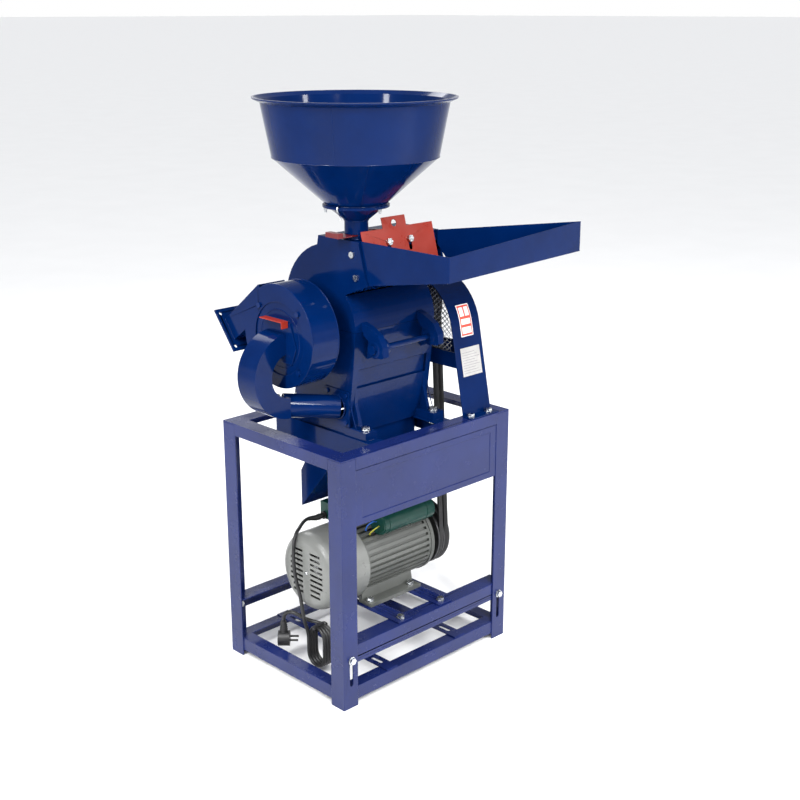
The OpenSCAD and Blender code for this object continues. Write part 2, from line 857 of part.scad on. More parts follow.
// Bend that returns air from the grinding chamber to the fan's eye.
module suction_duct() {
    leg_x = fan_left - 0.55;
    mid_r = (duct_out_r + duct_in_r) / 2;
    reach = pipe_end - pipe_start;
    len = norm(reach);
    color("mediumblue")
    difference() {
        union() {
            along_y(duct_y0, duct_y1)
                difference() {
                    union() {
                        translate([duct_cx, duct_cz])
                            circle(r = duct_out_r);
                    }
                    translate([duct_cx, duct_cz])
                        circle(r = duct_in_r);
                    translate([leg_x, duct_cz])
                        square([300, 300]);
                    translate([duct_cx, duct_cz - 300])
                        square([300, 600]);
                }
            translate(pipe_start)
                rotate([0, 0, atan2(reach[1], reach[0])])
                    rotate([0, 90 - asin(reach[2] / len), 0])
                        cylinder(h = len + 8, r = pipe_r);
            box(casing_left - inlet_t, casing_left - 0.1, pipe_end[1] - 38, pipe_end[1] + 38,
                pipe_end[2] - 38, pipe_end[2] + 38);
        }
        along_y(duct_y0 + duct_wall, duct_y1 - duct_wall)
            difference() {
                translate([duct_cx, duct_cz])
                    circle(r = duct_out_r - duct_wall);
                translate([duct_cx, duct_cz])
                    circle(r = duct_in_r + duct_wall);
                translate([leg_x + 1, duct_cz])
                    square([300, 300]);
                translate([duct_cx - 1, duct_cz - 300])
                    square([300, 600]);
            }
        translate(pipe_start)
            rotate([0, 0, atan2(reach[1], reach[0])])
                rotate([0, 90 - asin(reach[2] / len), 0])
                    translate([0, 0, -6])
                        cylinder(h = len + 30, r = pipe_r - duct_wall);
        box(casing_left - 0.1, casing_left + 40, -150, 60, pipe_end[2] - 60, pipe_end[2] + 60);
        for (sy = [-1, 1])
            for (sz = [-1, 1])
                rod_x(casing_left - 10, casing_left + 1, pipe_end[1] + sy * 29, pipe_end[2] + sz * 29, 3);
    }
}

// ---- Discharge ----

// Sheet chute under the mill that turns the meal out to the rear.
module discharge_chute() {
    top = leg_top - 0.5;
    rear = 94;
    color("mediumblue")
    difference() {
        along_x(-115, 75)
            polygon([[-70, top], [-70, stand_height - 62], [5, stand_height - 103],
                [rear, stand_height - 208], [rear, stand_height - 124], [82, stand_height - 104],
                [74, top]]);
        along_x(-115 + sheet_wall, 75 - sheet_wall)
            polygon([[-68, top + 1], [-68, stand_height - 61], [6, stand_height - 101],
                [rear + 2, stand_height - 207], [rear + 2, stand_height - 128],
                [80, stand_height - 106], [72, top + 1]]);
    }
}

// ---- Feeding ----

// Outline of the tray in y and z, with its floor falling to the throat.
module tray_side(t, reach) {
    slope_z = tray_z - tray_depth;
    polygon([[throat_top[0] - 1.3 + reach, tray_z + (t > 0 ? 1 : 0)],
        [throat_low[0] - 1.3 + reach, throat_low[1] + 1 + t],
        [tray_front_y - 5, slope_z + t], [tray_front_y - 5, tray_z + (t > 0 ? 1 : 0)]]);
}

module tray_plan(t) {
    polygon([[casing_left + plate_t + 0.3 + t, throat_top[0] + 20],
        [casing_left + plate_t + 0.3 + t, tray_front_y + t * 1.2],
        [tray_tip[0] - t * 5, tray_tip[1] + t * 0.2], [tray_back[0] - t * 0.5, tray_back[1] - t],
        [tray_back[0] - t * 0.5, throat_top[0] + 20]]);
}

// Wide sheet tray that leads to the feed throat; its left wall runs on behind the hood's cheek.
module feed_tray() {
    color("mediumblue") {
        difference() {
            intersection() {
                along_x(-200, 500)
                    tray_side(0, 0);
                translate([0, 0, shaft_z])
                    linear_extrude(400)
                        tray_plan(0);
            }
            intersection() {
                along_x(-201, 501)
                    tray_side(sheet_wall, 3);
                translate([0, 0, shaft_z])
                    linear_extrude(400)
                        tray_plan(sheet_wall);
            }
        }
        along_x(casing_left + plate_t + 0.3, casing_left + plate_t + 0.3 + sheet_wall)
            difference() {
                polygon([[throat_top[0] - 7, top_z - throat_lip - 1], [throat_low[0] - 2, throat_low[1] + 8],
                    [-92, throat_low[1] + 8], [-88, top_z - throat_lip - 1]]);
                for (p = tray_screw_at)
                    translate(p)
                        circle(r = 3.3);
            }
    }
}

module tray_screws() {
    color("silver")
    for (p = tray_screw_at)
        translate([casing_left, p[0], p[1]])
            rotate([0, -90, 0]) {
                cylinder(h = 4, r = 6.5);
                translate([0, 0, -plate_t - 0.3 - sheet_wall - 6])
                    cylinder(h = plate_t + sheet_wall + 8, r = 3);
                translate([0, 0, -plate_t - 0.3 - sheet_wall - 4.1])
                    cylinder(h = 4, r = 5.5, $fn = 6);
            }
}

// Frame of the throat: z runs up its slope and y points back into the mill.
module on_throat() {
    translate([0, throat_low[0] - 1.3, throat_low[1]])
        rotate([-throat_tilt, 0, 0])
            children();
}

// Red feed gate with its pull tab and the slots that its bolts run in.
module tray_gate() {
    color("orangered")
    on_throat()
        difference() {
            union() {
                box(-120, 80, -gate_wall - slide_gap, -slide_gap, 9, 108);
                box(-60, 6, -gate_wall - slide_gap, -slide_gap, 107, 130);
            }
            for (x = [-51, 8]) {
                box(x - 4.5, x + 4.5, -10, 10, 82 - gate_slot, 82);
                for (z = [82 - gate_slot, 82])
                    rod_y(-10, 10, x, z, 4.5);
            }
            rod_y(-10, 10, -27, 116, 7);
        }
}

module gate_bolts() {
    color("silver")
    on_throat()
        for (x = [-51, 8])
            translate([x, -gate_wall - slide_gap * 2, 80])
                rotate([90, 0, 0]) {
                    cylinder(h = 5, r = 7.5, $fn = 6);
                    translate([0, 0, -gate_wall - slide_gap * 2 + 0.1])
                        cylinder(h = gate_wall + 2 * slide_gap, r = 3.6);
                }
}

// Round sheet hopper: cone, upright wall and flared rim.
module hopper() {
    w = sheet_wall;
    color("mediumblue")
    translate([hopper_x, hopper_y, 0])
        difference() {
            rotate_extrude($fn = 96)
                polygon([[funnel_r + 8, ring_z], [funnel_r + 8, ring_z + w],
                    [funnel_r + 1, ring_z + w], [knee_r, knee_z], [wall_top_r, rim_z - 10],
                    [hopper_rim_d / 2 - 1, rim_z - 3], [hopper_rim_d / 2, rim_z],
                    [hopper_rim_d / 2 - 4, rim_z], [wall_top_r - w, rim_z - 7],
                    [knee_r - w, knee_z + w / 2], [funnel_r - w, ring_z + w],
                    [funnel_r - w - 3, ring_z + w], [funnel_r - w - 3, ring_z]]);
            ring_holes(ring_z);
        }
}

// The holes that the ring's screws pass through.
module ring_holes(z) {
    for (a = ring_screws)
        rotate([0, 0, a])
            translate([funnel_r + 4, 0, z - 5])
                cylinder(h = 10, r = 2.6);
}

// Lower funnel with its seat ring, the neck and the slot for the shutter.
module hopper_funnel() {
    w = sheet_wall;
    shutter_z = top_z + 8;
    color("mediumblue")
    translate([hopper_x, hopper_y, 0])
        difference() {
            rotate_extrude($fn = 96)
                polygon([[tube_r, top_z + 0.1], [tube_r, neck_z], [funnel_r - 2, ring_z - 3],
                    [funnel_r + 8, ring_z - 3], [funnel_r + 8, ring_z - 0.1], [funnel_r - 6, ring_z - 0.1],
                    [tube_r - w, neck_z + 1], [tube_r - w, top_z + 0.1]]);
            box(-60, 60, -19 - slide_gap, 19 + slide_gap, shutter_z - slide_gap, shutter_z + 2 + slide_gap);
            ring_holes(ring_z);
        }
}

module hopper_screws() {
    color("silver")
    translate([hopper_x, hopper_y, 0])
        for (a = ring_screws)
            rotate([0, 0, a])
                translate([funnel_r + 4, 0, ring_z - 3]) {
                    translate([0, 0, -4])
                        cylinder(h = 4, r = 4, $fn = 6);
                    translate([0, 0, -9])
                        cylinder(h = 9 + 3 + sheet_wall + EPS, r = 2.4);
                }
}

// Slide that shuts the hopper's neck, with a turned-down handle on the left.
module hopper_shutter() {
    shutter_z = top_z + 8;
    color("darkred")
    difference() {
        union() {
            box(hopper_x - 52, hopper_x + 70, hopper_y - 19, hopper_y + 19, shutter_z, shutter_z + 2);
            box(hopper_x - 66, hopper_x - 52 + EPS, hopper_y - 19, hopper_y + 19, shutter_z, shutter_z + 10);
        }
        translate([hopper_x + 45, hopper_y, shutter_z - 1])
            cylinder(h = 4, r = 17);
    }
}

// ---- Drive ----

// Outline of the belt guard, an arch over the mill pulley on flared legs.
module guard_outline(t) {
    polygon(concat([[-guard_foot_y - t, stand_height]],
        arc(0, guard_cz, guard_in_r + t, 169, 11, 24),
        [[guard_foot_y + t, stand_height]]));
}

module belt_guard() {
    foot_in = guard_foot_y - 1;
    foot_out = half_w - 2;
    x1 = guard_x0 + guard_width;
    color("mediumblue")
    difference() {
        union() {
            difference() {
                along_x(guard_x0, x1)
                    guard_outline(guard_wall);
                along_x(guard_x0 - 1, x1 + 1)
                    difference() {
                        guard_outline(0);
                        translate([-300, stand_height - 400])
                            square([600, 400]);
                    }
            }
            for (x = [guard_x0, x1 - 3])
                along_x(x, x + 3)
                    intersection() {
                        guard_outline(1);
                        translate([-300, mesh_low - 34])
                            square([600, 34]);
                    }
            for (sy = [-1, 1])
                box(guard_x0, x1, sy > 0 ? foot_in : -foot_out, sy > 0 ? foot_out : -foot_in,
                    stand_height, stand_height + 3);
        }
        along_x(guard_x0 - 1, x1 + 1)
            translate([-foot_in, stand_height - 10])
                square([2 * foot_in, 14]);
        for (sy = [-1, 1])
            for (x = guard_bolt_x)
                translate([x, sy * (half_w - 15), stand_height - 1])
                    cylinder(h = 5, r = 4.5);
    }
}

module guard_mesh() {
    color("silver")
    for (x = [guard_x0 + 0.3, guard_x0 + guard_width - 1.8])
        difference() {
            along_x(x, x + 1.5)
                intersection() {
                    guard_outline(-0.3);
                    translate([-300, mesh_low + 0.3])
                        square([600, 400]);
                }
            rod_x(guard_x0 - 5, guard_x0 + 20, 0, shaft_z, shaft_r + 8);
        }
}

module guard_bolts() {
    color("silver")
    for (sy = [-1, 1])
        for (x = guard_bolt_x)
            translate([x, sy * (half_w - 15), stand_height + 3])
                bolt(8, 3 + angle_wall, false);
}

// Two belts: arcs round the pulleys joined by their common tangents.
module belts() {
    low_r = motor_pulley_d / 2 - groove_d + 0.6;
    high_r = mill_pulley_d / 2 - groove_d + 0.6;
    lean = asin((low_r - high_r) / (shaft_z - motor_z));
    color("black")
    for (e = [-1, 1])
        along_x(belt_x + e * belt_pitch_x - belt_w / 2, belt_x + e * belt_pitch_x + belt_w / 2)
            difference() {
                polygon(concat(arc(0, shaft_z, high_r + belt_h, lean, 180 - lean, 24),
                    arc(0, motor_z, low_r + belt_h, 180 - lean, 360 + lean, 30)));
                polygon(concat(arc(0, shaft_z, high_r, lean, 180 - lean, 24),
                    arc(0, motor_z, low_r, 180 - lean, 360 + lean, 30)));
            }
}

// ---- Motor ----

module motor_stator() {
    foot_z = motor_z - motor_height;
    color("gray")
    difference() {
        union() {
            rod_x(stator_x0, stator_x1, 0, motor_z, motor_r);
            along_x(stator_x0 + 1, 80)
                polygon([[-86, foot_z], [-86, foot_z + 8], [-58, foot_z + 8], [-52, foot_z + 40],
                    [52, foot_z + 40], [58, foot_z + 8], [86, foot_z + 8], [86, foot_z]]);
        }
        rod_x(stator_x0 - 1, stator_x1 + 1, 0, motor_z, motor_r - 26);
        along_x(-100, 100)
            translate([-46, foot_z - 1])
                square([92, 13]);
        for (a = [-160:10:160])
            if (abs(abs(a) - 180) > 45 || abs(a) < 135)
                translate([0, 0, motor_z])
                    rotate([a, 0, 0])
                        box(stator_x0 + 6, stator_x1 - 6, -3.2, 3.2, motor_r - 6, motor_r + 3);
        for (x = [-motor_foot_x, motor_foot_x])
            for (y = [-motor_foot_y, motor_foot_y])
                translate([x, y, foot_z - 1])
                    cylinder(h = 30, r = 4.5);
    }
}

module end_shields() {
    color("gray") {
        for (s = [[stator_x1 + 0.1, 8, 1], [stator_x0 - 0.1, 8, -1]])
            translate([s[0], 0, motor_z])
                rotate([0, s[2] * 90, 0])
                    difference() {
                        rotate_extrude()
                            polygon([[motor_shaft_r + run_gap, 0], [motor_r + 2, 0], [motor_r + 2, 9],
                                [motor_r - 8, 14], [36, 20], [motor_shaft_r + run_gap, 20]]);
                        for (a = [45:90:315])
                            rotate([0, 0, a])
                                translate([motor_r - 5, 0, 8])
                                    cylinder(h = 8, r = 4);
                    }
    }
}

// Pressed cowl over the cooling fan, with two groups of slots in its face.
module fan_cowl() {
    back = stator_x0 - 3;
    face = -185;
    r = motor_r + 8;
    color("silver")
    translate([0, 0, motor_z])
        difference() {
            rotate([0, -90, 0])
                rotate_extrude()
                    polygon(concat([[motor_r + 2.3, -back], [r, -back], [r, -face - 24]],
                        arc(r - 24, -face - 24, 24, 0, 90, 8),
                        [[0, -face], [0, -face - 2]],
                        arc(r - 24, -face - 24, 22, 90, 0, 8),
                        [[r - 2, -back + 6], [motor_r + 2.3, -back + 3]]));
            for (i = [-4:4]) {
                span = i == 0 || abs(i) < 3 ? 52 : 44;
                for (e = [-1, 1])
                    box(face - 1, face + 6, min(e * 12, e * span), max(e * 12, e * span),
                        i * 12 - 2.5, i * 12 + 2.5);
            }
        }
}

module motor_rotor() {
    color("silver")
    difference() {
        union() {
            rod_x(-158, 186, 0, motor_z, motor_shaft_r);
            rod_x(stator_x0 + 24, stator_x1 - 24, 0, motor_z, motor_r - 28);
            rod_x(-146, -134, 0, motor_z, 20);
            rod_x(-137, -134, 0, motor_z, 66);
            for (a = [0:45:315])
                translate([0, 0, motor_z])
                    rotate([a, 0, 0])
                        box(-152, -136, 18, 64, -1.2, 1.2);
        }
        box(150, 187, -2.5, 2.5, motor_z + motor_shaft_r - 2.5, motor_z + motor_shaft_r + 1);
    }
}

// Start capacitor along the front of the motor and the switch box at the rear, each on its saddle.
module capacitors() {
    color("seagreen") {
        rod_x(-30, 122, -63, motor_z + 88, 25);
        for (x = [-12, 92])
            translate([0, 0, motor_z])
                rotate([atan2(63, 88), 0, 0])
                    box(x, x + 14, -7, 7, motor_r + 0.4, motor_r + 8);
        difference() {
            box(-76, 10, 30, 76, motor_z + 78, motor_z + 117);
            rod_x(-100, 20, 0, motor_z, motor_r + 0.5);
        }
        box(-60, -20, 38, 54, motor_z + 70.8, motor_z + 78.1);
    }
}

// ---- Power cord ----

module cord_gland() {
    color("black")
        translate([-76.1, 62, motor_z + 87])
            rotate([0, -90, 0]) {
                cylinder(h = 5, r = 9);
                cylinder(h = 14 - 0.1, r = cord_d / 2 + 2);
            }
}

function unit(v) = v / norm(v);
function heading(p, i) =
    i == 0 ? unit(p[1] - p[0]) : i == len(p) - 1 ? unit(p[i] - p[i - 1]) : unit(p[i + 1] - p[i - 1]);

// Tube of radius r and the given sides along a list of points.
module sweep(p, r, sides = 10) {
    n = len(p);
    rings = [for (i = [0:n - 1])
        let (d = heading(p, i), side = unit(cross(d, [0.31, 0.95, 0.05])), up = cross(side, d))
            for (k = [0:sides - 1]) p[i] + r * (cos(360 * k / sides) * side + sin(360 * k / sides) * up)];
    walls = [for (i = [0:n - 2]) for (k = [0:sides - 1])
        let (a = i * sides + k, b = i * sides + (k + 1) % sides) [a, b, b + sides, a + sides]];
    polyhedron(rings, concat(walls, [[for (k = [sides - 1:-1:0]) k]],
        [[for (k = [0:sides - 1]) (n - 1) * sides + k]]), convexity = 6);
}

module power_cord() {
    color("black") {
        sweep(lead_points, cord_d / 2);
        sweep(tail_points, cord_d / 2);
    }
}

// Outer shape of the tied hank of cord: an upright loop with round ends.
module cord_hank() {
    r = hank_half_y;
    color("black")
        translate([hank_x - hank_half_x, hank_y, 0])
            rotate([90, 0, 90])
                linear_extrude(2 * hank_half_x)
                    difference() {
                        union() {
                            translate([0, hank_low + r])
                                circle(r = r);
                            translate([-r, hank_low + r])
                                square([2 * r, hank_high - hank_low - r]);
                        }
                        translate([0, hank_low + r])
                            circle(r = r - 17);
                        translate([-r + 17, hank_low + r])
                            square([2 * r - 34, 50]);
                    }
}

// Angled two-pin plug, its neck pointing up to the cord.
module power_plug() {
    color("black") {
        translate(plug_at)
            rotate([0, 0, -45])
                rotate([0, 90, 0])
                    cylinder(h = 26, r = 17, center = true);
        translate([plug_at[0], plug_at[1], plug_at[2] + 8])
            cylinder(h = tail_points[len(tail_points) - 1][2] - plug_at[2] - 8.2, r1 = 9, r2 = 6);
    }
    color("silver")
        translate(plug_at)
            rotate([0, 0, -45])
                for (e = [-1, 1])
                    rotate([0, 90, 0])
                        translate([0, e * 9.5, 12])
                            cylinder(h = 20, r = 2.4);
}

leg_front_left();
leg_front_right();
leg_rear_left();
leg_rear_right();
top_rails();
bottom_rails();
base_straps();
mill_support_bars();
front_panel();
motor_rails();
motor_cross_bars();
carriage_bolts();
motor_foot_bolts();
lower_casing();
upper_casing();
hinge_pin();
casing_knob_left();
casing_knob_right();
mill_foot_bolts();
sieve_screen();
main_shaft();
rotor_discs();
hammer_pins();
hammers_row_1();
hammers_row_2();
hammers_row_3();
hammers_row_4();
shaft_bearings();
bearing_housings();
mill_pulley();
fan_impeller();
fan_casing();
fan_cover();
fan_screws();
inlet_plate();
fan_damper();
suction_duct();
discharge_chute();
feed_tray();
tray_screws();
tray_gate();
gate_bolts();
hopper();
hopper_funnel();
hopper_screws();
hopper_shutter();
belt_guard();
guard_mesh();
guard_bolts();
belts();
motor_pulley();
motor_stator();
end_shields();
fan_cowl();
motor_rotor();
capacitors();
cord_gland();
power_cord();
cord_hank();
power_plug();
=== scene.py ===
import math
import random

import bmesh
import bpy
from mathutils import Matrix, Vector


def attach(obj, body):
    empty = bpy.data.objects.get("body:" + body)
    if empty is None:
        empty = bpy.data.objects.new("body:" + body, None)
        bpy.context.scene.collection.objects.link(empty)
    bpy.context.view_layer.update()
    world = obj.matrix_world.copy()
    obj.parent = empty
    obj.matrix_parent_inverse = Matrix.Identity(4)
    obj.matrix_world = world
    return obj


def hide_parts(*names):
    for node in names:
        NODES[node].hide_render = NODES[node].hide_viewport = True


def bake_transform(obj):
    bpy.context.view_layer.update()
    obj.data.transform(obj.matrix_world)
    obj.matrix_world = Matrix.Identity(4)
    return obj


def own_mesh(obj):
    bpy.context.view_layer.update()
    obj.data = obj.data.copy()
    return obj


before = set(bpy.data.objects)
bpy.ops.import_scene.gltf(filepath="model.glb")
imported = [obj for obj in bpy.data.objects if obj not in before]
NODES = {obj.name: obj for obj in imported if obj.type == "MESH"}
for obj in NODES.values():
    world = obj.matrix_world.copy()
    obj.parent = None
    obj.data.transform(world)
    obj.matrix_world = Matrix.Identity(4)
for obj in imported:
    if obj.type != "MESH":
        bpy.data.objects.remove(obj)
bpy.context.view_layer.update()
MM = 0.001
FAN_AXIS = (6, 766)  # y and z of the fan casing's centre, in millimetres
FAN_BEAD = (-60, 205)  # the degrees of its rim that carry a bead
random.seed(11)


# ---------------------------------------------------------------- helpers
def at(x, y, z):
    """A point given in millimetres, as the CAD source gives it, in metres."""
    return Vector((x * MM, y * MM, z * MM))


def make_object(name, mesh, body, material):
    """An object for the mesh, in its material, riding on its body."""
    obj = bpy.data.objects.new(name, mesh)
    bpy.context.scene.collection.objects.link(obj)
    obj.data.materials.append(material)
    if body:
        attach(obj, body)
    return obj


def mesh_of(name, build, smooth=True, angle=35):
    """A mesh filled by build(bm), smooth apart from edges sharper than angle."""
    bm = bmesh.new()
    build(bm)
    bmesh.ops.recalc_face_normals(bm, faces=bm.faces)
    mesh = bpy.data.meshes.new(name)
    bm.to_mesh(mesh)
    bm.free()
    if smooth:
        mesh.polygons.foreach_set("use_smooth", [True] * len(mesh.polygons))
        mesh.set_sharp_from_angle(angle=math.radians(angle))
    return mesh


def soften(obj, width=0.8, segments=2):
    """Rounded edges, as pressed and painted metal has."""
    bevel = obj.modifiers.new("edges", "BEVEL")
    bevel.width = width * MM
    bevel.segments = segments
    bevel.limit_method = "ANGLE"
    bevel.angle_limit = math.radians(32)
    bevel.harden_normals = True
    return obj


def spline(points, step):
    """Catmull-Rom line through the points, sampled about every step."""
    ends = [points[0] * 2 - points[1], *points, points[-1] * 2 - points[-2]]
    line = []
    for i in range(1, len(ends) - 2):
        a, b, c, d = ends[i - 1 : i + 3]
        count = max(1, round((c - b).length / step))
        for k in range(count):
            t = k / count
            line.append(
                0.5 * (2 * b + (c - a) * t + (2 * a - 5 * b + 4 * c - d) * t * t
                       + (3 * b - a - 3 * c + d) * t ** 3)
            )
    line.append(points[-1].copy())
    return line


def frames(line):
    """A tangent, side and up direction at each point, carried along without twist."""
    count = len(line)
    tangents = []
    for i in range(count):
        before = line[max(i - 1, 0)]
        after = line[min(i + 1, count - 1)]
        tangents.append((after - before).normalized())
    side = tangents[0].orthogonal().normalized()
    made = []
    for tangent in tangents:
        side = (side - tangent * side.dot(tangent)).normalized()
        made.append((tangent, side, tangent.cross(side)))
    return made


def add_tube(bm, line, radius, sides=10):
    """A round tube along the line, with closed ends. radius is a number or one for each point."""
    radii = radius if isinstance(radius, list) else [radius] * len(line)
    rings = []
    for point, (_, side, up), r in zip(line, frames(line), radii):
        ring = []
        for k in range(sides):
            a = 2 * math.pi * k / sides
            ring.append(bm.verts.new(point + (side * math.cos(a) + up * math.sin(a)) * r))
        rings.append(ring)
    for one, two in zip(rings, rings[1:]):
        for k in range(sides):
            n = (k + 1) % sides
            bm.faces.new((one[k], one[n], two[n], two[k]))
    bm.faces.new(rings[0][::-1])
    bm.faces.new(rings[-1])


def add_box(bm, low, high, turn=None):
    """A box between two corners, in metres, turned by a matrix if one is given."""
    corners = []
    for z in (low[2], high[2]):
        for x, y in ((low[0], low[1]), (high[0], low[1]), (high[0], high[1]), (low[0], high[1])):
            p = Vector((x, y, z))
            corners.append(bm.verts.new(turn @ p if turn else p))
    for face in ((0, 3, 2, 1), (4, 5, 6, 7), (0, 1, 5, 4), (1, 2, 6, 5), (2, 3, 7, 6), (3, 0, 4, 7)):
        bm.faces.new([corners[i] for i in face])


def add_ring(bm, profile, centre, axis, sides=48, arc=(0.0, 2 * math.pi), start=None):
    """Turns a profile of (radius, height) points round the axis."""
    axis = axis.normalized()
    side = (start or axis.orthogonal()).normalized()
    up = axis.cross(side)
    whole = abs(arc[1] - arc[0] - 2 * math.pi) < 1e-6
    count = sides if whole else sides + 1
    rings = []
    for k in range(count):
        a = arc[0] + (arc[1] - arc[0]) * k / sides
        out = side * math.cos(a) + up * math.sin(a)
        rings.append([bm.verts.new(centre + out * r + axis * h) for r, h in profile])
    n = len(profile)
    for k in range(sides):
        one, two = rings[k], rings[(k + 1) % count]
        for j in range(n):
            bm.faces.new((one[j], two[j], two[(j + 1) % n], one[(j + 1) % n]))
    if not whole:
        bm.faces.new(rings[0])
        bm.faces.new(rings[-1][::-1])


# ---------------------------------------------------------------- camera
CAMERA_AT = Vector((-1.81683, -1.95296, 1.39823))
CAMERA_YAW = 44.439728
CAMERA_PITCH = 17.007688
CAMERA_LENS = 57.644


def make_camera():
    """The photograph's view, found from the stand's edges in the photograph."""
    data = bpy.data.cameras.new("camera")
    data.lens = CAMERA_LENS
    data.sensor_width = 36
    data.clip_start = 0.05
    data.clip_end = 500
    camera = bpy.data.objects.new("camera", data)
    camera.location = CAMERA_AT
    camera.rotation_euler = (
        math.radians(90 - CAMERA_PITCH), 0, math.radians(-CAMERA_YAW)
    )
    bpy.context.scene.collection.objects.link(camera)
    bpy.context.scene.camera = camera


make_camera()


# ---------------------------------------------------------------- materials
def shader(name, colour, roughness, metallic=0.0, coat=0.0, specular=0.5):
    """A Principled material, and its nodes, links and shader."""
    material = bpy.data.materials.new(name)
    material.use_nodes = True
    nodes, links = material.node_tree.nodes, material.node_tree.links
    main = nodes["Principled BSDF"]
    main.inputs["Base Color"].default_value = (*colour, 1)
    main.inputs["Roughness"].default_value = roughness
    main.inputs["Metallic"].default_value = metallic
    main.inputs["Coat Weight"].default_value = coat
    main.inputs["Coat Roughness"].default_value = 0.06
    main.inputs["Specular IOR Level"].default_value = specular
    return material, nodes, links, main


def noise(nodes, links, scale, detail=3.0, stretch=(1, 1, 1), rough=0.55):
    """Noise over the object's own coordinates, in metres. Gives the value socket."""
    coords = nodes.new("ShaderNodeTexCoord")
    mapping = nodes.new("ShaderNodeMapping")
    mapping.inputs["Scale"].default_value = stretch
    links.new(coords.outputs["Object"], mapping.inputs["Vector"])
    texture = nodes.new("ShaderNodeTexNoise")
    texture.inputs["Scale"].default_value = scale
    texture.inputs["Detail"].default_value = detail
    texture.inputs["Roughness"].default_value = rough
    links.new(mapping.outputs["Vector"], texture.inputs["Vector"])
    return texture.outputs["Fac"]


def ramp(nodes, links, value, stops):
    """A colour ramp over a value, from (place, colour) stops."""
    node = nodes.new("ShaderNodeValToRGB")
    while len(node.color_ramp.elements) < len(stops):
        node.color_ramp.elements.new(0.5)
    for element, (place, colour) in zip(node.color_ramp.elements, stops):
        element.position = place
        element.color = (*colour, 1)
    links.new(value, node.inputs["Fac"])
    return node.outputs["Color"]


def spread(nodes, links, value, low, high, low_in=0.3, high_in=0.7):
    """Maps a value to the range from low to high."""
    node = nodes.new("ShaderNodeMapRange")
    node.inputs["From Min"].default_value = low_in
    node.inputs["From Max"].default_value = high_in
    node.inputs["To Min"].default_value = low
    node.inputs["To Max"].default_value = high
    links.new(value, node.inputs["Value"])
    return node.outputs["Result"]


def mix(nodes, links, factor, one, two):
    """Mixes two colours, each a socket or a plain colour, by a factor socket."""
    node = nodes.new("ShaderNodeMix")
    node.data_type = "RGBA"
    links.new(factor, node.inputs["Factor"])
    for name, value in (("A", one), ("B", two)):
        socket = [s for s in node.inputs if s.name == name and s.type == "RGBA"][0]
        if isinstance(value, tuple):
            socket.default_value = (*value, 1)
        else:
            links.new(value, socket)
    return [s for s in node.outputs if s.type == "RGBA"][0]


def bump(nodes, links, main, heights):
    """Bump from (value socket, strength, depth in mm) rows, one on another."""
    normal = None
    for value, strength, depth in heights:
        node = nodes.new("ShaderNodeBump")
        node.inputs["Strength"].default_value = strength
        node.inputs["Distance"].default_value = depth * MM
        links.new(value, node.inputs["Height"])
        if normal:
            links.new(normal, node.inputs["Normal"])
        normal = node.outputs["Normal"]
    links.new(normal, main.inputs["Normal"])
    return normal


def shade(colour, by):
    """The colour made lighter or darker."""
    return tuple(min(1.0, c * by) for c in colour)


def enamel(name, colour, roughness, coat, dust=(0.25, 0.3, 0.42), scale=1.0, rough_cast=0.0, gloss=0.5):
    """Sprayed enamel on sheet metal: slight orange peel, uneven gloss, thin dust and small chips."""
    material, nodes, links, main = shader(name, colour, roughness, coat=coat, specular=gloss)
    cloud = noise(nodes, links, 9 * scale, 4)
    base = ramp(nodes, links, cloud, [(0.3, shade(colour, 0.82)), (0.7, shade(colour, 1.14))])
    speck = noise(nodes, links, 420 * scale, 2, rough=0.7)
    chips = spread(nodes, links, speck, 0, 0.55, 0.735, 0.78)
    chipped = mix(nodes, links, chips, base, dust)
    dirt = noise(nodes, links, 34 * scale, 6, (1, 1, 0.45), 0.7)
    film = spread(nodes, links, dirt, 0, 0.08, 0.55, 0.85)
    links.new(mix(nodes, links, film, chipped, dust), main.inputs["Base Color"])
    sheen = noise(nodes, links, 26 * scale, 5)
    links.new(spread(nodes, links, sheen, roughness * 0.75, roughness * 1.4), main.inputs["Roughness"])
    peel = noise(nodes, links, 300 * scale, 1.5)
    wave = noise(nodes, links, 14 * scale, 2)
    heights = [(wave, 0.22, 1.6), (peel, 0.04, 0.10)]
    if rough_cast:
        heights.append((noise(nodes, links, 150, 4, rough=0.6), rough_cast, 1.2))
    bump(nodes, links, main, heights)
    return material


def metal(name, colour, roughness, grain=(1, 1, 1), scale=240, dull=0.5, metallic=1.0):
    """Bare or plated metal with grain, cloudy plating and darker stains."""
    material, nodes, links, main = shader(name, colour, roughness, metallic)
    cloud = noise(nodes, links, 60, 5, rough=0.65)
    tones = [(0.28, shade(colour, dull)), (0.62, colour), (0.8, shade(colour, 1.15))]
    base = ramp(nodes, links, cloud, tones)
    links.new(base, main.inputs["Base Color"])
    lines = noise(nodes, links, scale, 3, grain, 0.6)
    links.new(spread(nodes, links, lines, roughness * 0.7, roughness * 1.45), main.inputs["Roughness"])
    bump(nodes, links, main, [(lines, 0.16, 0.15), (cloud, 0.08, 0.3)])
    return material


def moulded(name, colour, roughness, scale=900, depth=0.12, scuff=1.6):
    """Moulded plastic or rubber with a fine spark-eroded grain and scuffs."""
    material, nodes, links, main = shader(name, colour, roughness)
    cloud = noise(nodes, links, 30, 5)
    base = ramp(nodes, links, cloud, [(0.3, shade(colour, 0.8)), (0.7, shade(colour, 1.2))])
    marks = noise(nodes, links, 160, 6, (1, 1, 0.2), 0.75)
    scuffs = spread(nodes, links, marks, 0, 0.35, 0.62, 0.78)
    links.new(mix(nodes, links, scuffs, base, shade(colour, scuff)), main.inputs["Base Color"])
    links.new(spread(nodes, links, cloud, roughness * 0.85, roughness * 1.2), main.inputs["Roughness"])
    grain = noise(nodes, links, scale, 2)
    bump(nodes, links, main, [(grain, 0.25, depth)])
    return material


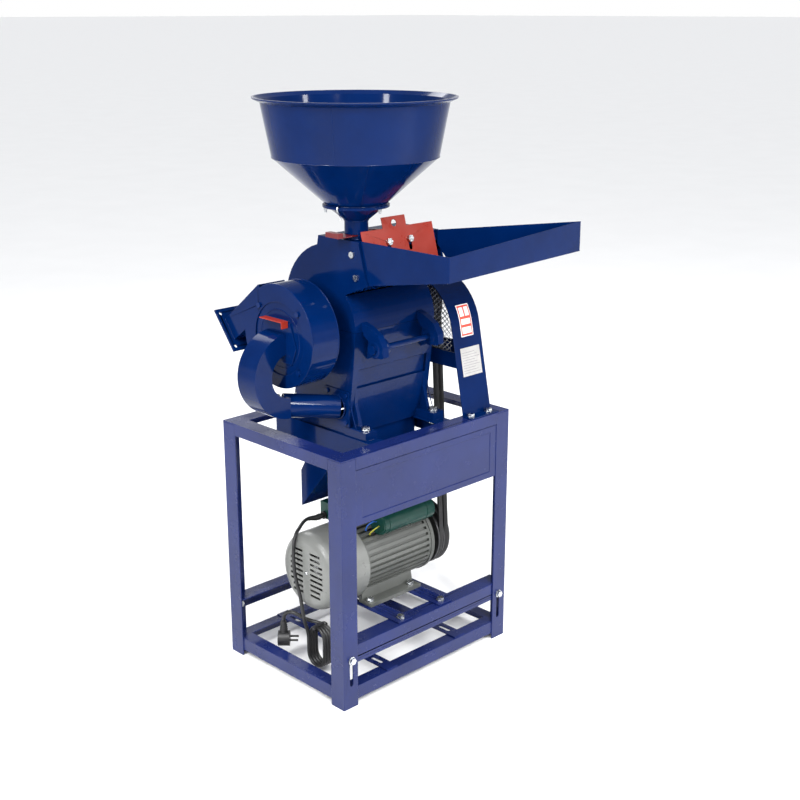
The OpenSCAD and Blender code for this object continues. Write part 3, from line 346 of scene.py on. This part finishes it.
MILL_BLUE = (0.0002, 0.0095, 0.0600)
STAND_BLUE = (0.0062, 0.0135, 0.0820)
MATERIALS = {
    "mill_blue": enamel("mill_blue", MILL_BLUE, 0.12, 0.17, (0.01, 0.04, 0.12), gloss=0.04),
    "cast_blue": enamel("cast_blue", MILL_BLUE, 0.16, 0.22, (0.01, 0.04, 0.12),
                        rough_cast=0.55, gloss=0.06),
    "stand_blue": enamel("stand_blue", STAND_BLUE, 0.22, 0.06, (0.03, 0.05, 0.15), gloss=0.28),
    "gate_red": enamel("gate_red", (0.26, 0.021, 0.011), 0.3, 0.05, (0.4, 0.12, 0.08), gloss=0.25),
    "shutter_red": enamel("shutter_red", (0.11, 0.005, 0.007), 0.3, 0.1, (0.25, 0.08, 0.08)),
    "motor_grey": enamel("motor_grey", (0.088, 0.093, 0.086), 0.36, 0.1, (0.2, 0.2, 0.19)),
    "cowl_grey": enamel("cowl_grey", (0.150, 0.155, 0.147), 0.34, 0.1, (0.3, 0.3, 0.29)),
    "case_green": enamel("case_green", (0.004, 0.040, 0.031), 0.3, 0.05, (0.05, 0.12, 0.10), gloss=0.25),
    "zinc": metal("zinc", (0.62, 0.64, 0.66), 0.24, dull=0.7),
    "yellow_zinc": metal("yellow_zinc", (0.58, 0.52, 0.36), 0.27, dull=0.7),
    "turned_steel": metal("turned_steel", (0.50, 0.50, 0.51), 0.28, (6, 0.4, 0.4), 300),
    "hard_steel": metal("hard_steel", (0.28, 0.27, 0.26), 0.45, dull=0.6),
    "fan_metal": metal("fan_metal", (0.42, 0.43, 0.45), 0.42, dull=0.7),
    "cast_iron": metal("cast_iron", (0.13, 0.13, 0.135), 0.42, scale=700, dull=0.7),
    "mesh_wire": metal("mesh_wire", (0.66, 0.67, 0.68), 0.30, dull=0.75),
    "belt_rubber": moulded("belt_rubber", (0.012, 0.012, 0.013), 0.62, 1400, 0.2, 3.0),
    "cord_black": moulded("cord_black", (0.010, 0.010, 0.011), 0.42, 700, 0.06, 2.5),
    "knob_black": moulded("knob_black", (0.014, 0.014, 0.016), 0.38, 900, 0.1, 2.5),
    "weld_blue": enamel("weld_blue", shade(MILL_BLUE, 1.1), 0.2, 0.04, (0.01, 0.04, 0.13), 2.5, gloss=0.16),
    "label_silver": metal("label_silver", (0.42, 0.41, 0.40), 0.42, (0.3, 3, 3), 160, 0.85, 0.35),
}


# ---------------------------------------------------------------- mains lead
CORD_D = 0.008
LEAD = [
    (-90.5, 62, 318), (-102, 62, 318), (-116, 62, 321), (-130, 60, 323), (-144, 54, 323),
    (-156, 48, 321), (-168, 42, 317), (-180, 37, 311), (-190, 32, 299), (-196, 28, 280),
    (-199, 25, 256), (-200, 21, 230), (-199, 15, 204), (-197, 9, 180), (-195, 6, 156),
    (-193, 4, 134), (-189, 4, 114), (-184, 4, 98),
]
HANK_TURNS = 3.5
HANK_X = (-179.5, -153.5)
HANK_Y = -20
HANK_FOLD = 24
HANK_ENDS = (38, 79)
HANK_STEPS = 20
HANK_STRAIGHT = 0.1  # the share of a turn that each straight side takes
HANK_ARC = 0.4  # the share of a turn that each fold takes
HANK_OVERLAP = 3  # the steps past the last half turn, towards the tail
RELIEF_END = -0.124
RELIEF_R = 0.0072
RELIEF_TAPER = 0.0027
RELIEF_RIB = 0.0004
RELIEF_WAVE = 42
TIE_SIZE = (18.2, 6.4)
TIE_ROUNDING = (0.45, 0.6)
TIE_LIFT = 1.5
TIE_STEPS = 32
TAIL = [
    (-153.5, -34, 99.5), (-155, -26, 103.5), (-157, -15, 106), (-161, -3, 107), (-168, 9, 109),
    (-177, 19, 114), (-186, 29.5, 121.5), (-192, 40, 125.8), (-196, 50.7, 123.9),
    (-197, 59.8, 117.8), (-197, 65.9, 108.7), (-197, 68, 98),
]


def hank_points():
    """The upright turns of the tied hank, each a little beside the one before."""
    low, high = HANK_ENDS
    second_half = 0.5 + HANK_STRAIGHT
    turn = []
    for k in range(HANK_STEPS):
        share = k / HANK_STEPS
        if share < HANK_STRAIGHT:
            y, z = HANK_FOLD, high - (high - low) * share / HANK_STRAIGHT
        elif share < 0.5:
            a = math.pi * (share - HANK_STRAIGHT) / HANK_ARC
            y, z = HANK_FOLD * math.cos(a), low - HANK_FOLD * math.sin(a)
        elif share < second_half:
            y, z = -HANK_FOLD, low + (high - low) * (share - 0.5) / HANK_STRAIGHT
        else:
            a = math.pi * (share - second_half) / HANK_ARC
            y, z = -HANK_FOLD * math.cos(a), high + HANK_FOLD * math.sin(a)
        turn.append((y, z))
    last = round(HANK_TURNS * HANK_STEPS) + HANK_OVERLAP - 1
    points = []
    for i in range(last + 1):
        x = HANK_X[0] + (HANK_X[1] - HANK_X[0]) * i / last
        y, z = turn[i % HANK_STEPS]
        points.append((x, HANK_Y + y, z))
    return points


def make_cord():
    """One lead from the gland, over the cowl, through the tied hank, to the plug."""
    route = [at(*p) for p in LEAD + hank_points() + TAIL]
    line = spline(route, 0.003)
    mesh = mesh_of("mains_cord", lambda bm: add_tube(bm, line, CORD_D / 2, 14))
    cord = make_object("mains_cord", mesh, "root", MATERIALS["cord_black"])
    relief_line = spline([at(*p) for p in LEAD[:5]], 0.002)
    relief_line = [p for p in relief_line if p.x > RELIEF_END]
    radii = []
    for i in range(len(relief_line)):
        share = i / (len(relief_line) - 1)
        rib = RELIEF_RIB * math.sin(share * RELIEF_WAVE)
        radii.append(RELIEF_R - RELIEF_TAPER * share + rib)
    relief = mesh_of("cord_relief", lambda bm: add_tube(bm, relief_line, radii, 16))
    relief = make_object("cord_relief", relief, "motor_carriage", MATERIALS["cord_black"])
    top = HANK_ENDS[1] + HANK_FOLD
    loop = []
    for k in range(TIE_STEPS):
        a = 2 * math.pi * k / TIE_STEPS
        across = math.copysign(abs(math.cos(a)) ** TIE_ROUNDING[0], math.cos(a))
        up = math.copysign(abs(math.sin(a)) ** TIE_ROUNDING[1], math.sin(a))
        x = sum(HANK_X) / 2 + TIE_SIZE[0] * across
        loop.append(at(x, HANK_Y, top + TIE_LIFT + TIE_SIZE[1] * up))

    def strap(bm):
        add_band(bm, loop, 0.0035, 0.0011)

    tie = make_object("cord_tie", mesh_of("cord_tie", strap), "root", MATERIALS["knob_black"])
    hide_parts("power_cord", "cord_hank")
    for piece in (cord, tie):
        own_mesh(piece)


def add_band(bm, loop, half_width, thick):
    """A flat closed band along a loop that lies in a plane across Y."""
    centre = sum(loop, Vector()) / len(loop)
    rings = []
    for i, point in enumerate(loop):
        out = point - centre
        out.y = 0
        out.normalize()
        across = Vector((0, half_width, 0))
        rings.append([
            bm.verts.new(point - across), bm.verts.new(point + across),
            bm.verts.new(point + across + out * thick), bm.verts.new(point - across + out * thick),
        ])
    for i, one in enumerate(rings):
        two = rings[(i + 1) % len(rings)]
        for k in range(4):
            n = (k + 1) % 4
            bm.faces.new((one[k], one[n], two[n], two[k]))


make_cord()


# ---------------------------------------------------------------- CAD nodes
STAND_NODES = (
    "leg_front_left", "leg_front_right", "leg_rear_left", "leg_rear_right", "top_rails",
    "bottom_rails", "base_straps", "front_panel", "motor_rails", "motor_cross_bars",
)
FINISHES = {
    "mill_blue": (
        "mill_support_bars", "upper_casing", "fan_casing", "fan_cover", "inlet_plate",
        "suction_duct", "discharge_chute", "feed_tray", "hopper", "hopper_funnel", "belt_guard",
    ),
    "cast_blue": (
        "lower_casing", "bearing_housings", "hinge_pin",
    ),
    "weld_blue": ("fan_screws",),
    "knob_black": ("casing_knob_left", "casing_knob_right"),
    "stand_blue": STAND_NODES,
    "gate_red": ("tray_gate", "fan_damper"),
    "shutter_red": ("hopper_shutter",),
    "motor_grey": ("motor_stator", "end_shields"),
    "cowl_grey": ("fan_cowl",),
    "case_green": ("capacitors",),
    "zinc": (
        "carriage_bolts", "motor_foot_bolts", "mill_foot_bolts", "guard_bolts",
        "tray_screws", "gate_bolts", "hopper_screws",
    ),
    "turned_steel": ("main_shaft", "motor_rotor", "shaft_bearings", "sieve_screen"),
    "hard_steel": ("rotor_discs", "hammer_pins", "hammers_row_1", "hammers_row_2",
                   "hammers_row_3", "hammers_row_4"),
    "fan_metal": ("fan_impeller",),
    "cast_iron": ("mill_pulley", "motor_pulley"),
    "mesh_wire": ("guard_mesh",),
    "belt_rubber": ("belts",),
    "cord_black": ("cord_gland", "power_plug", "power_cord", "cord_hank"),
}
SOFT_EDGES = {"sieve_screen": 0, "rotor_discs": 0.3, "guard_mesh": 0, "zinc": 0.3}


def sharp_borders(mesh):
    """Marks open borders sharp, so that they stay crisp once the faces are joined."""
    uses = [0] * len(mesh.edges)
    for loop in mesh.loops:
        uses[loop.edge_index] += 1
    name = "sharp_edge"
    flags = mesh.attributes.get(name) or mesh.attributes.new(name, "BOOLEAN", "EDGE")
    flags.data.foreach_set("value", [count < 2 for count in uses])


def finish_node(name, material):
    """A CAD node's material, and its joined faces with rounded edges."""
    obj = NODES[name]
    mesh = obj.data
    mesh.materials.clear()
    mesh.materials.append(material)
    custom = mesh.attributes.get("custom_normal")
    if custom:
        mesh.attributes.remove(custom)
    mesh.polygons.foreach_set("use_smooth", [True] * len(mesh.polygons))
    sharp_borders(mesh)
    weld = obj.modifiers.new("join", "WELD")
    weld.merge_threshold = 0.00001
    width = SOFT_EDGES.get(name, SOFT_EDGES.get(material.name, 0.8))
    if width:
        soften(obj, width)


for finish_name, members in FINISHES.items():
    for member in members:
        finish_node(member, MATERIALS[finish_name])


# ---------------------------------------------------------------- guard mesh
GUARD_Z = 720
GUARD_R = 128
GUARD_LOW = 690.5
GUARD_FACES = ((131.0, 21.0), (217.0, 0.0))
SHAFT_Z = 772
WIRE_R = 0.0007
WIRE_GAP = 8.5
WIRE_SLOPE = 0.72


def in_guard(y, z, hole):
    """True where the guard's side is open and the wire mesh fills it."""
    if z < GUARD_LOW or math.hypot(y, z - SHAFT_Z) < hole:
        return False
    if z < GUARD_Z:
        return abs(y) < GUARD_R - 3.5 + (GUARD_Z - z) * 0.12
    return math.hypot(y, z - GUARD_Z) < GUARD_R - 3.5


def make_guard_mesh():
    """Woven wire in both open sides of the belt guard."""
    def build(bm):
        for x, hole in GUARD_FACES:
            for sign in (-1, 1):
                start = -260
                while start < 260:
                    run = []
                    for k in range(0, 121):
                        y = start + sign * (k - 60) * 5 * math.cos(WIRE_SLOPE)
                        z = 766 + (k - 60) * 5 * math.sin(WIRE_SLOPE)
                        inside = in_guard(y, z, hole)
                        if inside:
                            weave = 0.45 * sign * (1 if k % 2 else -1)
                            run.append(at(x + weave, y, z))
                        if (not inside or k == 120) and run:
                            if len(run) > 1:
                                add_tube(bm, run, WIRE_R, 5)
                            run = []
                    start += WIRE_GAP / math.sin(WIRE_SLOPE)
        for x, hole in GUARD_FACES:
            if hole:
                rim = [(0.0, -0.001), (0.0015, -0.001), (0.0015, 0.001), (0.0, 0.001)]
                rim = [(hole * MM + r, h) for r, h in rim]
                add_ring(bm, rim, at(x, 0, SHAFT_Z), Vector((1, 0, 0)), 40)

    mesh = mesh_of("guard_wire", build)
    wire = make_object("guard_wire", mesh, "root", MATERIALS["mesh_wire"])
    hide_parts("guard_mesh")


make_guard_mesh()


# ---------------------------------------------------------------- V-belts
BELT_X = (157.0, 173.0)
BELT_BOTTOM = (231.0, 77.4)
BELT_TOP = (772.0, 47.4)
BELT_PROFILE = (
    (-5.4, 0.0), (-6.0, -0.5), (-6.0, -1.4), (-4.3, -7.2), (-3.7, -7.8),
    (3.7, -7.8), (4.3, -7.2), (6.0, -1.4), (6.0, -0.5), (5.4, 0.0),
)


def belt_line():
    """Points of the belt's outer line with their outward directions, in millimetres."""
    (z1, r1), (z2, r2) = BELT_BOTTOM, BELT_TOP
    tilt = math.asin((r1 - r2) / (z2 - z1))
    line = []
    for k in range(41):
        a = tilt + (math.pi - 2 * tilt) * k / 40
        line.append((r2 * math.cos(a), z2 + r2 * math.sin(a), a))
    y, z, a = line[-1]
    y_end, z_end = r1 * math.cos(a), z1 + r1 * math.sin(a)
    for k in range(1, 24):
        line.append((y + (y_end - y) * k / 24, z + (z_end - z) * k / 24, a))
    for k in range(49):
        b = a + (math.pi + 2 * tilt) * k / 48
        line.append((r1 * math.cos(b), z1 + r1 * math.sin(b), b))
    y, z, b = line[-1]
    y_end, z_end, _ = line[0]
    for k in range(1, 24):
        line.append((y + (y_end - y) * k / 24, z + (z_end - z) * k / 24, b))
    return line


def make_belts():
    """Two wrapped V-belts side by side."""
    line = belt_line()

    def build(bm):
        for x in BELT_X:
            rings = []
            for y, z, a in line:
                ring = []
                for across, out in BELT_PROFILE:
                    ring.append(bm.verts.new(
                        at(x + across, y + out * math.cos(a), z + out * math.sin(a))
                    ))
                rings.append(ring)
            n = len(BELT_PROFILE)
            for i, one in enumerate(rings):
                two = rings[(i + 1) % len(rings)]
                for k in range(n):
                    bm.faces.new((one[k], one[(k + 1) % n], two[(k + 1) % n], two[k]))

    mesh = mesh_of("v_belts", build, angle=50)
    belts = make_object("v_belts", mesh, None, MATERIALS["belt_rubber"])
    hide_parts("belts")
    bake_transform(belts)


make_belts()


# ---------------------------------------------------------------- blank labels
LEG_TOP = (-125.65, 744.42)
LEG_FOOT = (-164.0, 550.0)


def guard_front(s, out):
    """A point on the guard's front face, s along it from the leg's top, out from it."""
    if s > 0:
        a = math.radians(169) - s / GUARD_R
        r = GUARD_R + out
        return r * math.cos(a), GUARD_Z + r * math.sin(a)
    dy, dz = LEG_FOOT[0] - LEG_TOP[0], LEG_FOOT[1] - LEG_TOP[1]
    size = math.hypot(dy, dz)
    dy, dz = dy / size, dz / size
    return LEG_TOP[0] - dy * s + dz * out, LEG_TOP[1] - dz * s - dy * out


def label_patch(name, span_x, span_s, out, material):
    """A thin sheet that follows the guard's front face."""
    def build(bm):
        rows = 16
        grid = []
        for i in range(rows + 1):
            s = span_s[0] + (span_s[1] - span_s[0]) * i / rows
            row = []
            for x in span_x:
                for height in (out, out + 0.18):
                    y, z = guard_front(s, height)
                    row.append(bm.verts.new(at(x, y, z)))
            grid.append(row)
        for one, two in zip(grid, grid[1:]):
            for a, b in ((0, 2), (2, 3), (3, 1), (1, 0)):
                bm.faces.new((one[a], one[b], two[b], two[a]))
        bm.faces.new([grid[0][i] for i in (0, 1, 3, 2)])
        bm.faces.new([grid[-1][i] for i in (0, 2, 3, 1)])

    return make_object(name, mesh_of(name, build), "root", material)


def make_labels():
    """The guard's two labels, with plain blocks and rules in place of their print."""
    white = moulded("label_white", (0.80, 0.78, 0.76), 0.35, 500, 0.03, 0.8)
    red = moulded("label_red", (0.62, 0.055, 0.03), 0.35, 500, 0.03, 1.3)
    ink = moulded("label_ink", (0.16, 0.16, 0.17), 0.4, 500, 0.03, 1.3)
    label_patch("label_upper", (156, 194), (-26, 44), 0.15, white)
    label_patch("label_field", (158, 192), (-24, 42), 0.3, red)
    blocks = (
        ((161, 173), (18, 38)), ((177, 189), (18, 38)),
        ((161, 189), (0, 12)), ((161, 189), (-20, -6)),
    )
    for i, (span_x, span_s) in enumerate(blocks):
        label_patch(f"label_block_{i}", span_x, span_s, 0.45, white)
    label_patch("label_lower", (147, 207), (-112, -50), 0.15, MATERIALS["label_silver"])
    for i in range(9):
        s = -106 + i * 5.6
        label_patch(f"label_rule_{i}", (151, 203 - 7 * (i % 3)), (s, s + 0.9), 0.3, ink)


make_labels()


# ---------------------------------------------------------------- welds and seams
def weld(bm, points, radius=1.6, step=1.4):
    """A bead of weld along points in millimetres, with its ripples."""
    line = spline([at(*p) for p in points], step * MM)
    radii = []
    for i in range(len(line)):
        ripple = 0.16 * math.sin(i * 2.1) + 0.10 * random.uniform(-1, 1)
        radii.append(radius * MM * (1 + ripple))
    radii[0] *= 0.4
    radii[-1] *= 0.4
    add_tube(bm, line, radii, 8)


def ring_points(centre, radius, axis, turns=(0, 360), count=24):
    """Points in millimetres on a circle across the x, y or z axis."""
    points = []
    for k in range(count + 1):
        a = math.radians(turns[0] + (turns[1] - turns[0]) * k / count)
        c, s = radius * math.cos(a), radius * math.sin(a)
        x, y, z = centre
        points.append({
            "x": (x, y + c, z + s), "y": (x + c, y, z + s), "z": (x + c, y + s, z)
        }[axis])
    return points


def make_stand_welds():
    """Beads where rails meet the legs, and where the straps lie on the rails."""
    def build(bm):
        for sx in (-1, 1):
            for sy in (-1, 1):
                for low, high in ((16, 41), (524, 545)):
                    weld(bm, [(sx * 209.6, sy * 186.6, low), (sx * 209.8, sy * 186.5, high)])
                    weld(bm, [(sx * 246.6, sy * 149.6, low), (sx * 246.5, sy * 149.8, high)])
                weld(bm, [(sx * 249.2, sy * 189.4, 548), (sx * 249.4, sy * 170, 548.2)], 1.0)
            for sy in (-1, 1):
                weld(bm, [(sx * 90, sy * 184.8, 44), (sx * 122, sy * 184.9, 44)], 1.4)

    mesh = mesh_of("stand_welds", build)
    make_object("stand_welds", mesh, "root", MATERIALS["stand_blue"])


def make_mill_welds():
    """Beads on the mill's fixed sheet metal."""
    def build(bm):
        weld(bm, ring_points((-133.4, -48, 608), 25.4, "x"), 1.7)
        # The inner bead starts part way across the casing's rim, and then follows the rim round.
        start = ring_points((-205, *FAN_AXIS), 107.2, "x", (-64, 150), 60)[:1]
        weld(bm, start + ring_points((-171.0, *FAN_AXIS), 107.0, "x", FAN_BEAD, 60), 1.1)
        weld(bm, ring_points((-239.0, *FAN_AXIS), 106.9, "x", FAN_BEAD, 60), 0.9)
        for y in (-150, 150):
            weld(bm, [(-130.5, y * 0.79, 568.5), (-130.5, y * 0.6, 568.5)], 1.4)
        for y in (-146, 146):
            weld(bm, [(-136.2, y, 549.6), (-136.2, y * 0.8, 549.6)], 1.2)

    mesh = mesh_of("mill_welds", build)
    make_object("mill_welds", mesh, "root", MATERIALS["weld_blue"])


HOPPER = (-100, -78)


def hopper_point(radius, angle, z):
    """A point on the hopper, round its own axis."""
    a = math.radians(angle)
    return (HOPPER[0] + radius * math.cos(a), HOPPER[1] + radius * math.sin(a), z)


def make_hopper_seams():
    """The hopper's rolled seams and its bead at the ring."""
    def build(bm):
        seam = [hopper_point(r, 214, z) for r, z in ((165.2, 1122), (175, 1172), (184.8, 1224))]
        weld(bm, seam, 0.7, 2.5)
        seam = [hopper_point(r, 236, z) for r, z in ((61.5, 1029), (112, 1074), (164.8, 1120.4))]
        weld(bm, seam, 0.8, 2.0)
        weld(bm, ring_points((*HOPPER, 1028.8), 60.6, "z", count=48), 1.2)
        weld(bm, ring_points((*HOPPER, 1121), 165.1, "z", count=72), 0.6, 3)
        weld(bm, ring_points((*HOPPER, 996.5), 24.4, "z"), 1.2)
        weld(bm, ring_points((*HOPPER, 960.6), 24.6, "z"), 1.6)

    mesh = mesh_of("hopper_seams", build)
    make_object("hopper_seams", mesh, "upper_casing", MATERIALS["weld_blue"])


make_stand_welds()
make_mill_welds()
make_hopper_seams()


# ---------------------------------------------------------------- pressed detail
def make_panel_border():
    """The front panel's folded border, mitred at the corners."""
    outer = ((-246, 402.5), (246, 402.5), (246, 521), (-246, 521))
    inner = ((-192, 416), (192, 416), (192, 508), (-192, 508))

    def build(bm):
        front, back = -188.5, -187.0
        rows = []
        for y in (front, back):
            rows.append([bm.verts.new(at(x, y, z)) for x, z in outer])
            grow = 1.2 if y == back else 0
            rows.append([
                bm.verts.new(at(x - math.copysign(grow, x), y, z - math.copysign(grow, z - 460)))
                for x, z in inner
            ])
        front_out, front_in, back_out, back_in = rows
        for i in range(4):
            j = (i + 1) % 4
            bm.faces.new((front_out[i], front_out[j], front_in[j], front_in[i]))
            bm.faces.new((front_in[i], front_in[j], back_in[j], back_in[i]))
            bm.faces.new((front_out[i], back_out[i], back_out[j], front_out[j]))
            bm.faces.new((back_in[i], back_in[j], back_out[j], back_out[i]))

    mesh = mesh_of("panel_border", build)
    panel = make_object("panel_border", mesh, "root", MATERIALS["stand_blue"])
    soften(panel, 0.4)


def make_fan_ridges():
    """Rings pressed into the fan's cover, and the cover's rolled rim."""
    def build(bm):
        for radius, width, height in ((90.5, 2.2, 1.6), (80, 1.6, 1.0), (60, 1.4, 0.8)):
            profile = []
            for k in range(9):
                a = math.pi * k / 8
                profile.append(((radius + width * math.cos(a)) * MM, height * math.sin(a) * MM))
            add_ring(bm, profile, at(-237.05, 3, 762), Vector((-1, 0, 0)), 72)

    mesh = mesh_of("fan_ridges", build, angle=60)
    make_object("fan_ridges", mesh, "root", MATERIALS["mill_blue"])


def make_motor_trim():
    """Capacitor bands, its end cap, two wires and the cowl's middle screw."""
    def bands(bm):
        for x in (-12, 104):
            profile = [(0.0251, -0.005), (0.0259, -0.005), (0.0259, 0.005), (0.0251, 0.005)]
            add_ring(bm, profile, at(x, -63, 319), Vector((1, 0, 0)), 40)
        add_ring(
            bm, [(0.0, 0.0), (0.0, 0.0022), (0.0215, 0.0022), (0.0232, 0.0)],
            at(-30, -63, 319), Vector((-1, 0, 0)), 40
        )

    mesh = mesh_of("capacitor_bands", bands)
    make_object("capacitor_bands", mesh, "motor_carriage", MATERIALS["case_green"])

    def wire(points):
        line = spline([at(*p) for p in points], 0.002)
        return lambda bm: add_tube(bm, line, 0.0014, 8)

    routes = (
        ("earth_wire", (0.42, 0.40, 0.03), [
            (-31, -68, 316), (-44, -70, 315), (-54, -64, 306), (-50, -56, 298), (-42, -50, 294)]),
        ("phase_wire", (0.02, 0.10, 0.40), [
            (-31, -60, 324), (-42, -58, 326), (-52, -52, 318), (-52, -46, 306), (-44, -40, 301)]),
    )
    for name, colour, points in routes:
        material = moulded(name, colour, 0.4, 700, 0.05)
        make_object(name, mesh_of(name, wire(points)), "motor_carriage", material)

    def screw(bm):
        add_ring(
            bm, [(0.0, 0.0), (0.0, 0.0026), (0.0028, 0.0024), (0.0042, 0.0012), (0.0044, 0.0)],
            at(-184.9, 0, 231), Vector((-1, 0, 0)), 24
        )

    mesh = mesh_of("cowl_screw", screw)
    make_object("cowl_screw", mesh, "motor_carriage", MATERIALS["zinc"])


make_panel_border()
make_fan_ridges()
make_motor_trim()


# ---------------------------------------------------------------- cast knuckles
def make_knuckles():
    """Rounded cast knuckles round the hood's hinge pin."""
    rows = (
        ("hood_knuckles", "upper_casing", ((-112.5, -96.6), (45.6, 61.5))),
        ("casing_knuckles", "root", ((-94.4, -80.6), (61.9, 75.4))),
    )
    for name, body, spans in rows:
        def build(bm, spans=spans):
            for low, high in spans:
                half = (high - low) / 2
                profile = [(0.0062, -half * MM)]
                for k in range(7):
                    a = math.radians(-90 + 15 * k)
                    profile.append(((15 + 5 * math.cos(a)) * MM, (5 - half + 5 * math.sin(a)) * MM))
                for k in range(7):
                    a = math.radians(15 * k)
                    profile.append(((15 + 5 * math.cos(a)) * MM, (half - 5 + 5 * math.sin(a)) * MM))
                profile.append((0.0062, half * MM))
                add_ring(bm, profile, at((low + high) / 2, -138, 742), Vector((1, 0, 0)), 40)

        mesh = mesh_of(name, build, angle=60)
        make_object(name, mesh, body, MATERIALS["cast_blue"])


make_knuckles()


# ---------------------------------------------------------------- small hardware
CLIP_ANGLES = (196, 24)


def make_ring_clips():
    """Bent wire clips that hang under the hopper's ring."""
    def build(bm):
        for angle in CLIP_ANGLES:
            path = [(64, 1030.5), (69, 1029.5), (70.5, 1024), (66, 1017), (60, 1010), (58, 1003)]
            line = spline([at(*hopper_point(r, angle, z)) for r, z in path], 0.002)
            add_tube(bm, line, 0.0015, 8)

    mesh = mesh_of("ring_clips", build)
    make_object("ring_clips", mesh, "upper_casing", MATERIALS["zinc"])


def make_shaft_end():
    """A centre drill mark and a key on the mill shaft's free end."""
    def build(bm):
        add_ring(
            bm, [(0.0, 0.0), (0.0, 0.0006), (0.0030, 0.0009), (0.0034, 0.0)],
            at(192, 0, SHAFT_Z), Vector((1, 0, 0)), 24
        )
        add_box(bm, at(150, -2.5, SHAFT_Z + 10), at(188, 2.5, SHAFT_Z + 13.6))

    mesh = mesh_of("shaft_key", build)
    key = make_object("shaft_key", mesh, "mill_rotor", MATERIALS["turned_steel"])
    soften(key, 0.3)


def make_casing_beads():
    """Beads along the lower casing's feet and its bars."""
    def build(bm):
        for x in (-129.0, 96.0):
            for sy in (-1, 1):
                weld(bm, [(x, sy * 104, 569), (x, sy * 92, 600), (x, sy * 84, 640)], 1.0, 2.0)
        for x in (-116, 82):
            for sy in (-1, 1):
                weld(bm, [(x - 9, sy * 134, 551), (x + 9, sy * 134, 551)], 1.3)

    mesh = mesh_of("casing_beads", build)
    make_object("casing_beads", mesh, "root", MATERIALS["weld_blue"])


def make_plug_ribs():
    """Grip ribs on the plug's neck."""
    def build(bm):
        for k in range(5):
            z = 72 + k * 5
            outer = 9.4 - 0.6 * k
            profile = [(outer - 1.6, -0.9), (outer, -0.9), (outer + 0.5, 0), (outer, 0.9), (outer - 1.6, 0.9)]
            profile = [(r * MM, h * MM) for r, h in profile]
            add_ring(bm, profile, at(-197, 68, z), Vector((0, 0, 1)), 28)

    mesh = mesh_of("plug_ribs", build, angle=60)
    make_object("plug_ribs", mesh, "root", MATERIALS["cord_black"])


make_ring_clips()
make_shaft_end()
make_casing_beads()
make_plug_ribs()


# ---------------------------------------------------------------- floor and light
def make_stage():
    """Pale floor that runs on to the horizon, and soft studio light."""
    material, nodes, links, main = shader("floor", (0.90, 0.90, 0.90), 0.7, specular=0.1)
    grain = noise(nodes, links, 3, 4)
    base = ramp(nodes, links, grain, [(0.3, (0.89, 0.89, 0.89)), (0.7, (0.91, 0.91, 0.91))])
    links.new(base, main.inputs["Base Color"])

    def plane(bm):
        corners = [bm.verts.new((x, y, 0)) for x, y in ((-200, -200), (200, -200), (200, 200), (-200, 200))]
        bm.faces.new(corners)

    floor = bpy.data.objects.new("floor", mesh_of("floor", plane))
    bpy.context.scene.collection.objects.link(floor)
    floor.data.materials.append(material)
    world = bpy.data.worlds.new("studio")
    world.use_nodes = True
    nodes, links = world.node_tree.nodes, world.node_tree.links
    background = nodes["Background"]
    coords = nodes.new("ShaderNodeTexCoord")
    parts = nodes.new("ShaderNodeSeparateXYZ")
    links.new(coords.outputs["Generated"], parts.inputs["Vector"])
    sky = ramp(nodes, links, parts.outputs["Z"], SKY)
    links.new(sky, background.inputs["Color"])
    background.inputs["Strength"].default_value = 1.0
    bpy.context.scene.world = world
    bpy.context.scene.view_settings.view_transform = "Standard"
    data = bpy.data.lights.new("sky", "SUN")
    data.energy = 2.4
    data.angle = math.radians(50)
    sun = bpy.data.objects.new("sky", data)
    sun.rotation_euler = Vector((0.45, 0.55, -1.1)).to_track_quat("-Z", "Y").to_euler()
    bpy.context.scene.collection.objects.link(sun)
    for name, place, size, power in LIGHTS:
        data = bpy.data.lights.new(name, "AREA")
        data.shape = "RECTANGLE"
        data.size, data.size_y = size
        data.energy = power
        lamp = bpy.data.objects.new(name, data)
        lamp.location = place
        aim = Vector((0, 0, 0.6)) - Vector(place)
        lamp.rotation_euler = aim.to_track_quat("-Z", "Y").to_euler()
        bpy.context.scene.collection.objects.link(lamp)


SKY = [(0.05, (1, 1, 1)), (0.16, (0.38, 0.39, 0.41)), (0.7, (0.30, 0.31, 0.33))]
LIGHTS = [
    ("key", (-2.6, -0.3, 2.2), (0.35, 1.8), 100),
    ("fill", (1.3, -2.9, 1.8), (0.35, 1.8), 90),
    ("back", (0.8, 2.6, 2.4), (2.0, 1.2), 40),
    ("strip", (-0.9, -2.6, 2.9), (0.25, 1.4), 70),
]
make_stage()
